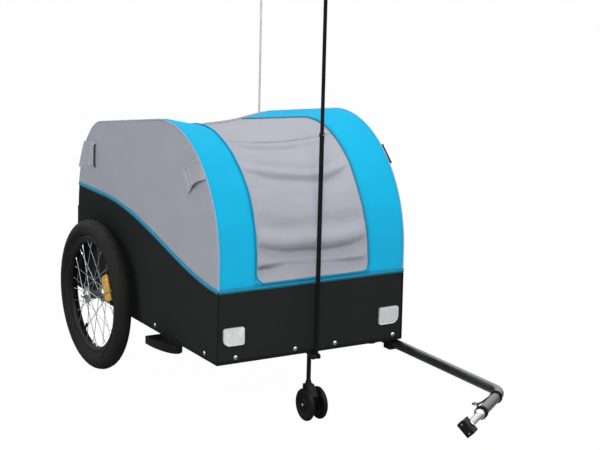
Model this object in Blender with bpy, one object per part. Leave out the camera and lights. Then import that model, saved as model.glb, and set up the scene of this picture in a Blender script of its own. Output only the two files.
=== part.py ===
"""Bicycle trailer with a cloth cabin on a steel frame, two spoked wheels, a twin front caster, a pull handle
and a bent tow arm. Metres, +Z up, the front faces -Y and the trailer's right side is -X. The origin is on the
ground, under the middle of the whole length. A station is a distance behind the front face of the cabin."""

import math

import bmesh
import bpy
from mathutils import Matrix, Vector

# Clearances
GAP = 0.0003  # between pieces that touch
RUNNING = 0.0005  # between pieces that turn or slide on one another
CUT_PAST = 0.01  # how far a cutter runs past what it cuts

# Cabin cloth, heights above the ground
BODY_WIDTH = 0.522  # at the base
BODY_LENGTH = 0.828
BODY_LEAN = 0.005  # how far each side has drawn in at the roof
FABRIC = 0.002
BODY_BOTTOM = 0.171
FRONT_WAIST = 0.350
REAR_WAIST = 0.464
WAIST_REACH = 0.66  # station where the side seam has reached the rear waist
WAIST_POWER = 1.7
FRONT_CURVE_START = 0.405
FRONT_CURVE_DEPTH = 0.295
FRONT_CURVE_END = math.radians(80)
ROOF_TOP = 0.713
ROOF_END = 0.665
ROOF_END_HEIGHT = 0.656
REAR_CURVE_START = 0.40
REAR_CURVE_TOP = math.radians(84)
BAND_WIDTH = 0.100
WAIST_STRIP = 0.0075
FLAP_SEAM_STATION = 0.180
CLOTH_SAG = 0.032  # how far the roof cloth hangs between the bows
SAG_AT_REAR = 0.95  # share of that sag left at the roof's rear edge
FOLDS = ((0.395, 0.011, 0.0065), (0.447, 0.014, 0.0085), (0.602, 0.012, 0.0045))  # height, half width, depth
FOLD_DIP = 0.008  # the folds droop towards the middle
FOLD_POWER = 0.7

# Frame
BASE_TUBE = 0.020
BASE_WALL = 0.0015
HOOP_RADIUS = 0.008
HOOP_WALL = 0.0012
HOOP_FOOT = 0.0003
CLOTH_SLACK = 0.0012  # between the bows and the cloth, which lies in flat facets
CROSS_BAR_RADIUS = 0.007
SLAT_WIDTH = 0.018
SLAT_FROM_END = {"front": 0.100, "rear": 0.073}
SLAT_MIDDLE = 0.360
FLOOR_THICKNESS = 0.004
FLOOR_MARGIN = 0.004

# Wheels and axles
AXLE_STATION = 0.625
WHEEL_RADIUS = 0.200
WHEEL_OFFSET = 0.039  # from the cabin's side to the wheel's middle plane
TYRE_WIDTH = 0.045
TYRE_WALL = 0.004
TREAD_WALL = 0.0065
BEAD_DEPTH = 0.0025  # how far the tyre reaches into the rim
RIM_DEPTH = 0.017
RIM_WIDTH = 0.024
RIM_LIP = 0.002
RIM_WELL = 0.007
RIM_SHOULDER = 0.006
HUB_RADIUS = 0.0125
HUB_HALF = 0.026
FLANGE_RADIUS = 0.022
FLANGE_PLACE = 0.022
FLANGE_THICKNESS = 0.0022
FLANGE_EDGE = 0.003  # from the flange's edge to the spoke holes
WHEEL_STEPS = 36
SPOKE_COUNT = 28
SPOKE_RADIUS = 0.0009
SPOKE_WRAP = math.radians(65)
SPOKE_SPREAD = 0.002
AXLE_RADIUS = 0.005
AXLE_INSIDE = 0.060  # how far an axle runs into the axle tube
AXLE_END = 0.0125  # thread beyond the hub
AXLE_TUBE_RADIUS = 0.0087
NUT_WIDTH = 0.006
NUT_RADIUS = 0.0085
SPACER_RADIUS = 0.009
AMBER_SIZE = (0.0116, 0.034, 0.070)
AMBER_REACH = 0.0875
AMBER_TURN = math.radians(156)
AMBER_EDGE = 0.0015

# Guards beside the cabin, in front of the wheels
GUARD_STATION = 0.303
GUARD_DEPTH = 0.117
GUARD_INSIDE = 0.233
GUARD_OUTSIDE = 0.304
GUARD_HEIGHT = 0.020
GUARD_WALL = 0.004
GUARD_POCKET = 0.012

# Caster
CASTER_RADIUS = 0.0405
CASTER_TRAIL = 0.018
CASTER_WHEEL_WIDTH = 0.013
CASTER_SPACING = 0.0185
CASTER_AXLE_RADIUS = 0.004
CASTER_AXLE_END = 0.002  # beyond the wheel
CASTER_HUB_RADIUS = 0.012
CASTER_TREAD = 0.012  # depth of the rim round the wheel's thin web
CASTER_DISH = 0.003  # how far the web lies inside the wheel's faces
STEM_RADIUS = 0.0055
STEM_TOP = 0.226
STEM_COLLAR = (0.0085, 0.003)  # radius and height
SOCKET_RADIUS = 0.0088
SOCKET_TOP = 0.232
FORK_WIDTH = 0.022
KNUCKLE_TOP = 0.098
KNUCKLE_TAPER = 0.012
KNUCKLE_DROP = 0.030
KNUCKLE_RADIUS = 0.009
FORK_BOSS = 0.011
FORK_NOSE = (0.016, 0.022)  # the leg's front corner, ahead of the axle and above it

# Pull handle
HANDLE_OFFSET = 0.020  # the handle's axis, ahead of the front face
HANDLE_PIVOT_HEIGHT = 0.1645
HANDLE_FOOT = 0.0045  # below the pivot
HANDLE_RADIUS = 0.0055
HANDLE_WALL = 0.0005
HANDLE_JOINT_HEIGHT = 0.704
HANDLE_TOP = 1.120
HANDLE_OVERLAP = 0.060
COLLAR_RADIUS = 0.0068
COLLAR_HEIGHT = 0.010
COLLAR_EDGE = 0.001
COLLAR_PIN = (0.0018, 0.0018)  # radius, and how far it stands out
GRIP_RADIUS = 0.014
GRIP_WIDTH = 0.120
GRIP_END_RADIUS = 0.007
GRIP_TAPER = 0.016
GRIP_NECK = (0.005, 0.001)  # from the end, and how much thinner
BRACKET_PLATE = 0.003
BRACKET_HALF = 0.0095
BRACKET_EAR = 0.0065
BRACKET_REACH = 0.016  # behind the caster's stem
BRACKET_INSIDE = 0.004  # how far the ears run under the cabin
BRACKET_PIN = (0.0025, 0.002)  # radius, and how far it stands out

# Flag
ROD_RADIUS = 0.003
ROD_FROM_REAR = 0.062
ROD_BOTTOM = 0.372
ROD_TOP = 1.400
SOCKET_LENGTH = 0.090
SOCKET_WALL = 0.002
SOCKET_FLOOR = 0.003
PAD_SHARE = 1.3  # half of the socket's pad, over the socket's radius
FLAG_FROM_TOP = 0.010
FLAG_HEIGHT = 0.150
FLAG_LENGTH = 0.190
FLAG_THICKNESS = 0.0012

# Tow arm
TOW_X = 0.255
TOW_RADIUS = 0.012
TOW_WALL = 0.002
TOW_PIVOT_STATION = 0.130
TOW_TAIL = 0.014
TOW_CORNER_AHEAD = 0.4205
TOW_ANGLE = math.radians(52.9)
TOW_BEND_RADIUS = 0.050
TOW_LEG = 0.1685
TOW_PLATE = 0.003
TOW_BRACKET_HALF = 0.016
TOW_BOLT_RADIUS = 0.004
KNOB_RADIUS = 0.015
KNOB_HEIGHT = 0.012
KNOB_TOP = 0.7  # radius of its upper edge, over the knob's radius
KNOB_WINGS = (1.25, 0.3)  # their reach and half thickness, over the knob's radius
CRADLE_STATION = 0.030
CRADLE_LENGTH = 0.028
CRADLE_LIP = 0.008

# Hitch, measured along the leg from the tube's end
SWIVEL_SHANK = 0.030
SWIVEL_FLANGE = 0.008
SWIVEL_TAPER = 0.004
SWIVEL_RADIUS = 0.0085
SWIVEL_NECK_END = 0.074
SWIVEL_EDGE = 0.002
HITCH_PIVOT = 0.094
HITCH_START = 0.085
HITCH_FRONT = 0.113
HITCH_LONG = 0.037
HITCH_SHORT = 0.022
HITCH_EDGE = 0.0015
TONGUE_HALF = 0.004
TONGUE_INSET = 0.0005
HITCH_BOLT_RADIUS = 0.003
HITCH_BOLT_END = 0.004  # beyond the block
STRAP_RADIUS = 0.0022
STRAP_START = 0.040
STRAP_BEFORE_RING = (0.020, 0.008)
STRAP_AFTER_RING = (0.022, 0.010)
STRAP_RING = (0.108, 0.028)  # along the leg, and beside it
STRAP_RING_RADIUS = 0.0065
STRAP_WIRE = 0.0015
BAND_HALF = 0.006
BEND_BAND_HALF = 0.003
BAND_FROM_END = 0.002
BAND_THICKNESS = 0.003

# Small pieces on the cloth
RIVET_RADIUS = 0.005
RIVET_HEIGHT = 0.0022
RIVET_ROOT = 0.001
RIVET_SHANK = 0.6  # of the head's radius
RIVET_DOME = ((0.2, 1.0), (0.6, 0.85), (0.9, 0.45), (1.0, 0.0))  # shares of the height and of the radius
RIVET_LINE = 0.0145  # above the cabin's bottom edge
FRONT_RIVETS = (-0.212, -0.048, 0.065, 0.235)
SIDE_RIVETS = (0.063, 0.335, BODY_LENGTH - 0.048)
REFLECTOR_SIZE = (0.056, 0.044)
REFLECTOR_DEPTH = 0.006
REFLECTOR_PLACE = (0.219, 0.238)
REFLECTOR_CORNERS = (0.006, 0.018)
REFLECTOR_EDGE = 0.0012
POCKET_STATIONS = (0.006, 0.150)
POCKET_HEIGHTS = (0.178, 0.276)
POCKET_DEPTH = 0.011
POCKET_CORNER = 0.012
POCKET_EDGE = 0.003
TAB_DEPTH = 0.0065
TAB_INSET = 0.0045  # from the cloth's outline to the edge of a tab that is sewn beside it
FRONT_TAB = ((0.068, 0.108), 0.088, math.radians(-27.5))  # stations of its edge, length and slope
REAR_TAB = ((0.582, 0.511), 0.088, math.radians(176))  # heights of its edge, length and slope

# Derived places
HALF_WIDTH = BODY_WIDTH / 2
SKIN_INSIDE = HALF_WIDTH - FABRIC - GAP
BASE_TOP = BODY_BOTTOM + BASE_TUBE
RAIL_X = SKIN_INSIDE - BASE_TUBE / 2
RAIL_STATION = FABRIC + GAP + BASE_TUBE / 2
HOOP_INSET = FABRIC + CLOTH_SLACK + HOOP_RADIUS
HOOP_X = HALF_WIDTH - HOOP_INSET
BETWEEN_HOOPS = HOOP_X - HOOP_RADIUS
FLAP_HALF = HALF_WIDTH - BAND_WIDTH
WHEEL_X = HALF_WIDTH + WHEEL_OFFSET
FLOOR_BOTTOM = WHEEL_RADIUS + AXLE_TUBE_RADIUS + GAP
RIM_RADIUS = WHEEL_RADIUS - TYRE_WIDTH + BEAD_DEPTH
UNDERSIDE = BODY_BOTTOM - GAP
HANDLE_INNER_RADIUS = HANDLE_RADIUS - HANDLE_WALL - RUNNING
TOW_HEIGHT = UNDERSIDE - TOW_PLATE - RUNNING - TOW_RADIUS
SIDE_INSET = FABRIC + CLOTH_SLACK
REAR_SEAM_HEIGHT = (REAR_WAIST - REAR_CURVE_START) / (ROOF_END_HEIGHT - REAR_CURVE_START - SIDE_INSET)
REAR_SEAM = ROOF_END + (BODY_LENGTH - ROOF_END - SIDE_INSET) * math.sqrt(1 - REAR_SEAM_HEIGHT**2)
LEG_DIRECTION = Vector((-math.sin(TOW_ANGLE), -math.cos(TOW_ANGLE), 0))
LEG_SIDE = Vector((math.cos(TOW_ANGLE), -math.sin(TOW_ANGLE), 0))
HITCH_ACROSS = (LEG_SIDE - Vector((0, 0, 1))).normalized()
HITCH_BOLT = (LEG_SIDE + Vector((0, 0, 1))).normalized()
HITCH_SPREAD = -HITCH_ACROSS.y * HITCH_LONG / 2 - HITCH_BOLT.y * HITCH_SHORT / 2
NOSE_AHEAD = TOW_CORNER_AHEAD - LEG_DIRECTION.y * (TOW_LEG + HITCH_FRONT) + HITCH_SPREAD
ROD_STATION = BODY_LENGTH - ROD_FROM_REAR
FLAG_START = ROD_STATION + ROD_RADIUS + GAP
REAR_REACH = FLAG_START + FLAG_LENGTH
FRONT_Y = (NOSE_AHEAD - REAR_REACH) / 2


def at(x, station, height):
    """The point at a distance behind the cabin's front face."""
    return Vector((x, FRONT_Y + station, height))


def drawn_in(x, height):
    """The cabin's sides lean in towards the roof, in proportion to the height above the base."""
    return x * (1 - BODY_LEAN / HALF_WIDTH * (height - BASE_TOP) / (ROOF_TOP - BASE_TOP))


def lean(verts):
    for vert in verts:
        vert.co.x = drawn_in(vert.co.x, vert.co.z)


def clear_scene():
    for obj in list(bpy.data.objects):
        bpy.data.objects.remove(obj, do_unlink=True)


def finish(name, colour, roughness, metallic=0.0):
    paint = bpy.data.materials.new(name)
    paint.use_nodes = True
    shader = paint.node_tree.nodes["Principled BSDF"]
    shader.inputs["Base Color"].default_value = (*colour, 1.0)
    shader.inputs["Roughness"].default_value = roughness
    shader.inputs["Metallic"].default_value = metallic
    return paint


# Making and placing objects


def axis_empty(name, origin, parent=None):
    """An empty that stands on a joint's axis and carries what moves with it."""
    empty = bpy.data.objects.new(name, None)
    empty.empty_display_size = 0.03
    bpy.context.scene.collection.objects.link(empty)
    put(empty, origin, parent)
    return empty


def put(obj, origin, parent):
    """Parents an object and sets its place from the world coordinates of its origin."""
    place = Vector(origin)
    obj.parent = parent
    while parent is not None:
        place -= parent.location
        parent = parent.parent
    obj.location = place


def emit(name, bm, paint, origin=(0, 0, 0), parent=None, smooth=True):
    """Turns a bmesh in world coordinates into an object whose origin is at the given point."""
    bmesh.ops.recalc_face_normals(bm, faces=bm.faces)
    bmesh.ops.translate(bm, vec=-Vector(origin), verts=bm.verts)
    mesh = bpy.data.meshes.new(name)
    bm.to_mesh(mesh)
    bm.free()
    if smooth:
        mesh.shade_smooth()
        mesh.set_sharp_from_angle(angle=math.radians(32))
    obj = bpy.data.objects.new(name, mesh)
    bpy.context.scene.collection.objects.link(obj)
    obj.data.materials.append(paint)
    put(obj, origin, parent)
    return obj


def combine(obj, name, bm, operation):
    """Cuts the shapes in a bmesh, in world coordinates, out of an object, or joins them to it."""
    bmesh.ops.recalc_face_normals(bm, faces=bm.faces)
    mesh = bpy.data.meshes.new(name)
    bm.to_mesh(mesh)
    bm.free()
    cutter = bpy.data.objects.new(name, mesh)
    bpy.context.scene.collection.objects.link(cutter)
    cutter.hide_render = True
    cutter.display_type = "WIRE"
    change = obj.modifiers.new(name, "BOOLEAN")
    change.operation = operation
    change.solver = "EXACT"
    change.use_self = operation == "UNION"
    change.object = cutter


def cut(obj, name, bm):
    combine(obj, name, bm, "DIFFERENCE")


def join(obj, name, bm):
    combine(obj, name, bm, "UNION")


def soften(obj, width, segments=2):
    edge = obj.modifiers.new("edges", "BEVEL")
    edge.width = width
    edge.segments = segments
    edge.limit_method = "ANGLE"
    edge.angle_limit = math.radians(40)


# Shapes that are added to a bmesh


def add_block(bm, low, high):
    size = [high[i] - low[i] for i in range(3)]
    middle = [(high[i] + low[i]) / 2 for i in range(3)]
    made = bmesh.ops.create_cube(bm, size=1.0)
    bmesh.ops.scale(bm, vec=size, verts=made["verts"])
    bmesh.ops.translate(bm, vec=middle, verts=made["verts"])
    return made["verts"]


def add_rod(bm, start, end, radius, sides=12, end_radius=None):
    start, end = Vector(start), Vector(end)
    along = end - start
    turn = along.to_track_quat("Z", "Y").to_matrix().to_4x4()
    made = bmesh.ops.create_cone(
        bm,
        cap_ends=True,
        segments=sides,
        radius1=radius,
        radius2=radius if end_radius is None else end_radius,
        depth=along.length,
        matrix=Matrix.Translation((start + end) / 2) @ turn,
    )
    return made["verts"]


def add_prism(bm, outline, axis, low, high):
    """Extrudes a flat outline along an axis. It holds the two other coordinates, in X, Y, Z order."""
    slot = "XYZ".index(axis)
    points = []
    for first, second in outline:
        point = [first, second]
        point.insert(slot, low)
        points.append(bm.verts.new(point))
    face = bm.faces.new(points)
    grown = bmesh.ops.extrude_face_region(bm, geom=[face])
    moved = [item for item in grown["geom"] if isinstance(item, bmesh.types.BMVert)]
    step = Vector((0, 0, 0))
    step[slot] = high - low
    bmesh.ops.translate(bm, vec=step, verts=moved)
    return points + moved


def add_turned(bm, profile, centre, axis, steps, closed=True):
    """Spins a profile of (along, radius) pairs round an axis. A closed profile makes a ring."""
    axis = Vector(axis).normalized()
    side = axis.orthogonal().normalized()
    if abs(axis.x) > 0.99:
        side = Vector((0, 0, -1))
    verts = [bm.verts.new(Vector(centre) + axis * along + side * radius) for along, radius in profile]
    edges = [bm.edges.new(pair) for pair in zip(verts, verts[1:])]
    if closed:
        edges.append(bm.edges.new((verts[-1], verts[0])))
    spun = bmesh.ops.spin(
        bm,
        geom=verts + edges,
        cent=Vector(centre),
        axis=axis,
        angle=2 * math.pi,
        steps=steps,
        use_merge=True,
        use_duplicate=False,
    )
    bmesh.ops.remove_doubles(bm, verts=bm.verts, dist=1e-6)
    return spun


def arc(centre, radii, start, end, steps):
    """Points of an ellipse from one angle to another, both ends included."""
    points = []
    for index in range(steps + 1):
        angle = start + (end - start) * index / steps
        points.append((centre[0] + radii[0] * math.cos(angle), centre[1] + radii[1] * math.sin(angle)))
    return points


def rounded(outline, radii, steps=4):
    """A closed outline with each corner replaced by an arc of its own radius."""
    points = []
    count = len(outline)
    for index in range(count):
        here = Vector(outline[index])
        before = (Vector(outline[index - 1]) - here).normalized()
        after = (Vector(outline[(index + 1) % count]) - here).normalized()
        half = before.angle(after) / 2
        middle = here + (before + after).normalized() * radii[index] / math.sin(half)
        first = here + before * radii[index] / math.tan(half) - middle
        last = here + after * radii[index] / math.tan(half) - middle
        turn = first.angle_signed(last)
        for step in range(steps + 1):
            angle = -turn * step / steps
            spin = Matrix.Rotation(angle, 2)
            points.append(tuple(middle + spin @ first))
    return points


def bent_path(corners, radius, steps):
    """A path through corner points, each inner corner rounded by an arc."""
    path = [Vector(corners[0])]
    for before, here, after in zip(corners, corners[1:], corners[2:]):
        into = (Vector(here) - Vector(before)).normalized()
        out = (Vector(after) - Vector(here)).normalized()
        angle = into.angle(out)
        reach = radius * math.tan(angle / 2)
        normal = (out - into * into.dot(out)).normalized()
        middle = Vector(here) - into * reach + normal * radius
        for step in range(steps + 1):
            part = angle * step / steps
            path.append(middle - normal * radius * math.cos(part) + into * radius * math.sin(part))
    path.append(Vector(corners[-1]))
    return path


def tube(name, path, radius, paint, wall=0.0, sides=8, origin=(0, 0, 0), parent=None):
    """A round tube or bar along a path. A wall makes it a hollow tube with open ends."""
    curve = bpy.data.curves.new(name, "CURVE")
    curve.dimensions = "3D"
    curve.bevel_depth = radius
    curve.bevel_resolution = (sides - 4) // 2
    curve.use_fill_caps = wall == 0.0
    spline = curve.splines.new("POLY")
    spline.points.add(len(path) - 1)
    for point, place_on_path in zip(spline.points, path):
        point.co = (*place_on_path, 1.0)
    guide = bpy.data.objects.new(name + "_guide", curve)
    bpy.context.scene.collection.objects.link(guide)
    bpy.context.view_layer.update()
    graph = bpy.context.evaluated_depsgraph_get()
    mesh = bpy.data.meshes.new_from_object(guide.evaluated_get(graph))
    bpy.data.objects.remove(guide, do_unlink=True)
    bm = bmesh.new()
    bm.from_mesh(mesh)
    bpy.data.meshes.remove(mesh)
    bmesh.ops.remove_doubles(bm, verts=bm.verts, dist=1e-6)
    obj = emit(name, bm, paint, origin, parent)
    if wall:
        shell = obj.modifiers.new("wall", "SOLIDIFY")
        shell.thickness = wall
        shell.offset = -1
        shell.use_even_offset = True
    return obj


def cloth(name, rows, paint, gap_column=None):
    """A sheet through rows of points on its outer side, thickened inwards. Above its first row of faces, the
    sheet is left open at gap_column."""
    bm = bmesh.new()
    grid = [[bm.verts.new(point) for point in row] for row in rows]
    for level, (lower, upper) in enumerate(zip(grid, grid[1:])):
        for index in range(len(lower) - 1):
            if level and index == gap_column:
                continue
            bm.faces.new((lower[index], lower[index + 1], upper[index + 1], upper[index]))
    mesh = bpy.data.meshes.new(name)
    bm.to_mesh(mesh)
    bm.free()
    mesh.shade_smooth()
    mesh.set_sharp_from_angle(angle=math.radians(40))
    obj = bpy.data.objects.new(name, mesh)
    bpy.context.scene.collection.objects.link(obj)
    obj.data.materials.append(paint)
    skin = obj.modifiers.new("thickness", "SOLIDIFY")
    skin.thickness = FABRIC
    skin.offset = -1
    skin.use_even_offset = True
    return obj


# The cabin's outline, as (station, height)


def front_arc(inset, steps):
    radii = (FRONT_CURVE_DEPTH - inset, ROOF_TOP - FRONT_CURVE_START - inset)
    return arc((FRONT_CURVE_DEPTH, FRONT_CURVE_START), radii, math.pi, FRONT_CURVE_END, steps)


def rear_arc(inset, steps):
    radii = (BODY_LENGTH - ROOF_END - inset, ROOF_END_HEIGHT - REAR_CURVE_START - inset)
    return arc((ROOF_END, REAR_CURVE_START), radii, REAR_CURVE_TOP, 0.0, steps)


def waist(station):
    """Height of the side seam: low at the front, rising to the rear waist."""
    share = min(station / WAIST_REACH, 1.0)
    return FRONT_WAIST + (REAR_WAIST - FRONT_WAIST) * math.sin(share * math.pi / 2) ** WAIST_POWER


def shell_path():
    """The outline of the cloth from the front waist, over the roof and down to the rear's lower edge."""
    path = [(0.0, FRONT_WAIST)]
    path += front_arc(0.0, 60)
    path += rear_arc(0.0, 40)
    path.append((BODY_LENGTH, BODY_BOTTOM))
    return path


def walk(path, start, end, count):
    """Evenly spaced points along a path between two distances, with the outward normal at each."""
    lengths = [0.0]
    for before, here in zip(path, path[1:]):
        lengths.append(lengths[-1] + math.dist(before, here))
    found = []
    for index in range(count):
        wanted = start + (end - start) * index / (count - 1)
        piece = 0
        while piece < len(path) - 2 and lengths[piece + 1] < wanted:
            piece += 1
        share = (wanted - lengths[piece]) / (lengths[piece + 1] - lengths[piece])
        a, b = path[piece], path[piece + 1]
        point = (a[0] + (b[0] - a[0]) * share, a[1] + (b[1] - a[1]) * share)
        along = Vector((b[0] - a[0], b[1] - a[1])).normalized()
        found.append((point, (-along.y, along.x)))
    return found


def length_to(path, slot, value):
    """Distance along the path to where its station (slot 0) reaches a value, or its height (1) falls to it."""
    total = 0.0
    for a, b in zip(path, path[1:]):
        passes = b[0] >= value if slot == 0 else b[1] <= value and b[0] > ROOF_END
        if passes and b[0] > 0:
            return total + math.dist(a, b) * (value - a[slot]) / (b[slot] - a[slot])
        total += math.dist(a, b)
    return total


# Cloth pieces


def sag_share(station):
    """Share of the full sag at a station: none at the front face and all of it over the roof."""
    if station < FLAP_SEAM_STATION:
        return math.sin(math.pi / 2 * max(station, 0.0) / FLAP_SEAM_STATION)
    along = min((station - FLAP_SEAM_STATION) / (ROOF_END - FLAP_SEAM_STATION), 1.0)
    past = max((station - ROOF_END) / (REAR_SEAM - ROOF_END), 0.0)
    return (1 - (1 - SAG_AT_REAR) * along**2) * max(1 - past, 0.0)


def fold_depth(x, height):
    """How far the flap is drawn in by its cross folds."""
    share = math.cos(x / FLAP_HALF * math.pi / 2)
    total = 0.0
    for centre, half, depth in FOLDS:
        total += depth * math.exp(-(((height - centre + FOLD_DIP * (1 - share)) / half) ** 2))
    return total * max(share, 0.0) ** FOLD_POWER


def skin_rows(start, end, count, columns, folded=False):
    """Rows of points across the outer side of the top cloth, between two distances along the outline."""
    rows = []
    for (station, height), (out_y, out_z) in walk(shell_path(), start, end, count):
        row = []
        for x in columns:
            depth = CLOTH_SAG * sag_share(station) * max(1 - (x / BETWEEN_HOOPS) ** 2, 0.0)
            if folded:
                depth += fold_depth(x, height)
            level = height - out_z * depth
            row.append(at(drawn_in(x, level), station - out_y * depth, level))
        rows.append(row)
    return rows


def spread(low, high, count):
    return [low + (high - low) * index / count for index in range(count + 1)]


def cabin_cloth(black, grey, pale, cyan):
    path = shell_path()
    seam = length_to(path, 0, FLAP_SEAM_STATION)
    roof_end = length_to(path, 0, ROOF_END)
    rear_seam = length_to(path, 1, REAR_WAIST)
    whole = length_to(path, 1, BODY_BOTTOM)

    outer = [-HALF_WIDTH, -HOOP_X, *spread(-BETWEEN_HOOPS, -FLAP_HALF, 3)]
    columns = outer + [-x for x in reversed(outer)]
    rows = skin_rows(GAP, WAIST_STRIP - GAP, 2, columns)
    rows += skin_rows(WAIST_STRIP + GAP, roof_end, 27, columns)
    cloth("cyan_border", rows, cyan, gap_column=len(outer) - 1)

    middle = spread(GAP - FLAP_HALF, FLAP_HALF - GAP, 10)
    cloth("front_flap", skin_rows(WAIST_STRIP, seam - GAP, 28, middle, folded=True), pale)
    middle = spread(GAP - FLAP_HALF, FLAP_HALF - GAP, 8)
    cloth("roof_panel", skin_rows(seam + GAP, roof_end, 13, middle), pale)
    sides = [-HALF_WIDTH, *spread(-BETWEEN_HOOPS, BETWEEN_HOOPS, 8), HALF_WIDTH]
    cloth("rear_panel", skin_rows(roof_end + GAP, rear_seam - GAP, 14, sides), grey)

    bent = skin_rows(rear_seam + GAP, length_to(path, 1, REAR_CURVE_START), 4, (-HALF_WIDTH, HALF_WIDTH))
    bent += skin_rows(whole, whole, 2, (-HALF_WIDTH, HALF_WIDTH))[:1]
    rear = cloth("skirt_rear", bent, black)
    bm = bmesh.new()
    lean(add_block(bm, at(-HALF_WIDTH, 0, BODY_BOTTOM), at(HALF_WIDTH, FABRIC, FRONT_WAIST)))
    front = emit("skirt_front", bm, black, smooth=False)
    height = BODY_BOTTOM + RIVET_LINE
    add_rivets(front, [(at(x, 0, height), (0, -1, 0)) for x in FRONT_RIVETS])
    add_rivets(rear, [(at(x, BODY_LENGTH, height), (0, 1, 0)) for x in FRONT_RIVETS])
    side_panels(black, grey)


def add_rivets(obj, places):
    bm = bmesh.new()
    shank = RIVET_RADIUS * RIVET_SHANK
    dome = [(-RIVET_ROOT, 0.0), (-RIVET_ROOT, shank), (GAP, shank)]
    dome += [(height * RIVET_HEIGHT, radius * RIVET_RADIUS) for height, radius in RIVET_DOME]
    for centre, axis in places:
        add_turned(bm, dome, centre, axis, 8, closed=False)
    join(obj, obj.name + "_rivets", bm)


def tab_outlines():
    """The two tabs, each sewn beside the cloth's outline and lying back from it along its own slope."""
    (low, high), length, slope = FRONT_TAB
    edge = [point for point in front_arc(TAB_INSET, 40) if low <= point[0] <= high][::2]
    yield with_reach(edge, length, slope)
    (high, low), length, slope = REAR_TAB
    edge = [point for point in rear_arc(TAB_INSET, 40) if low <= point[1] <= high][::2]
    yield with_reach(edge, length, slope)


def with_reach(edge, length, slope):
    """An edge and the same edge moved along a slope, as one outline."""
    along = (length * math.cos(slope), length * math.sin(slope))
    moved = [(station + along[0], height + along[1]) for station, height in (edge[0], edge[-1])]
    return [(FRONT_Y + station, height) for station, height in [*edge, moved[1], moved[0]]]


def side_panels(black, grey):
    inset = FABRIC + GAP
    seam = [(FRONT_Y + station, waist(station)) for station in spread(inset, REAR_SEAM, 16)]
    beside_seam = 2 * FABRIC
    front = [(FRONT_Y + station, height) for station, height in front_arc(SIDE_INSET, 16)]
    rear = [(FRONT_Y + station, height) for station, height in rear_arc(SIDE_INSET, 16)]
    lower_rear = [(y, z) for y, z in rear if z < REAR_WAIST - beside_seam]
    upper_rear = [(y, z) for y, z in rear if z > REAR_WAIST + beside_seam]
    for side, word in ((-1, "right"), (1, "left")):
        low, high = sorted((side * HALF_WIDTH, side * (HALF_WIDTH - FABRIC)))
        feet = [(FRONT_Y + station, BODY_BOTTOM) for station in (inset, BODY_LENGTH - inset)]
        outline = [feet[0], *seam, *lower_rear, feet[1]]
        bm = bmesh.new()
        lean(add_prism(bm, outline, "X", low, high))
        skirt = emit(f"skirt_{word}", bm, black, smooth=False)
        bm = bmesh.new()
        centre = at(side * HALF_WIDTH, AXLE_STATION, WHEEL_RADIUS)
        through = Vector((CUT_PAST, 0, 0))
        add_rod(bm, centre - through, centre + through, AXLE_RADIUS + RUNNING, 16)
        cut(skirt, f"axle_hole_{word}", bm)
        stations = [s for s in SIDE_RIVETS if side == -1 or s > POCKET_STATIONS[1]]
        height = BODY_BOTTOM + RIVET_LINE
        add_rivets(skirt, [(at(side * HALF_WIDTH, s, height), (side, 0, 0)) for s in stations])

        outline = [(y, z + GAP) for y, z in reversed(seam)] + front + upper_rear
        bm = bmesh.new()
        lean(add_prism(bm, outline, "X", low, high))
        panel = emit(f"side_panel_{word}", bm, grey, smooth=False)
        low, high = sorted((side * (HALF_WIDTH - FABRIC / 2), side * (HALF_WIDTH + TAB_DEPTH)))
        bm = bmesh.new()
        for outline in tab_outlines():
            lean(add_prism(bm, outline, "X", low, high))
        join(panel, f"tabs_{word}", bm)


def side_pocket(black):
    start, end = POCKET_STATIONS
    low, high = POCKET_HEIGHTS
    face = HALF_WIDTH + GAP
    corners = [(FRONT_Y + start, low), (FRONT_Y + end, low), (FRONT_Y + end, high), (FRONT_Y + start, high)]
    bm = bmesh.new()
    add_prism(bm, rounded(corners, (POCKET_CORNER,) * 4, 3), "X", face, face + POCKET_DEPTH)
    soften(emit("side_pocket", bm, black), POCKET_EDGE, 1)


def reflectors(lens):
    wide, tall = REFLECTOR_SIZE[0] / 2, REFLECTOR_SIZE[1] / 2
    small, large = REFLECTOR_CORNERS
    back = FRONT_Y - GAP
    for side, word in ((-1, "right"), (1, "left")):
        x, z = side * REFLECTOR_PLACE[0], REFLECTOR_PLACE[1]
        corners = [(x - side * wide, z - tall), (x + side * wide, z - tall)]
        corners += [(x + side * wide, z + tall), (x - side * wide, z + tall)]
        bm = bmesh.new()
        add_prism(bm, rounded(corners, (small, large, small, small)), "Y", back - REFLECTOR_DEPTH, back)
        soften(emit(f"front_reflector_{word}", bm, lens), REFLECTOR_EDGE, 1)


# Frame


def box_rail(name, low, high, axis, paint):
    """A square tube with open ends, along one axis."""
    bm = bmesh.new()
    add_block(bm, low, high)
    rail = emit(name, bm, paint, smooth=False)
    slot = "XYZ".index(axis)
    inner_low = [value + BASE_WALL for value in low]
    inner_high = [value - BASE_WALL for value in high]
    inner_low[slot], inner_high[slot] = low[slot] - CUT_PAST, high[slot] + CUT_PAST
    bm = bmesh.new()
    add_block(bm, inner_low, inner_high)
    cut(rail, name + "_bore", bm)
    return rail


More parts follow.
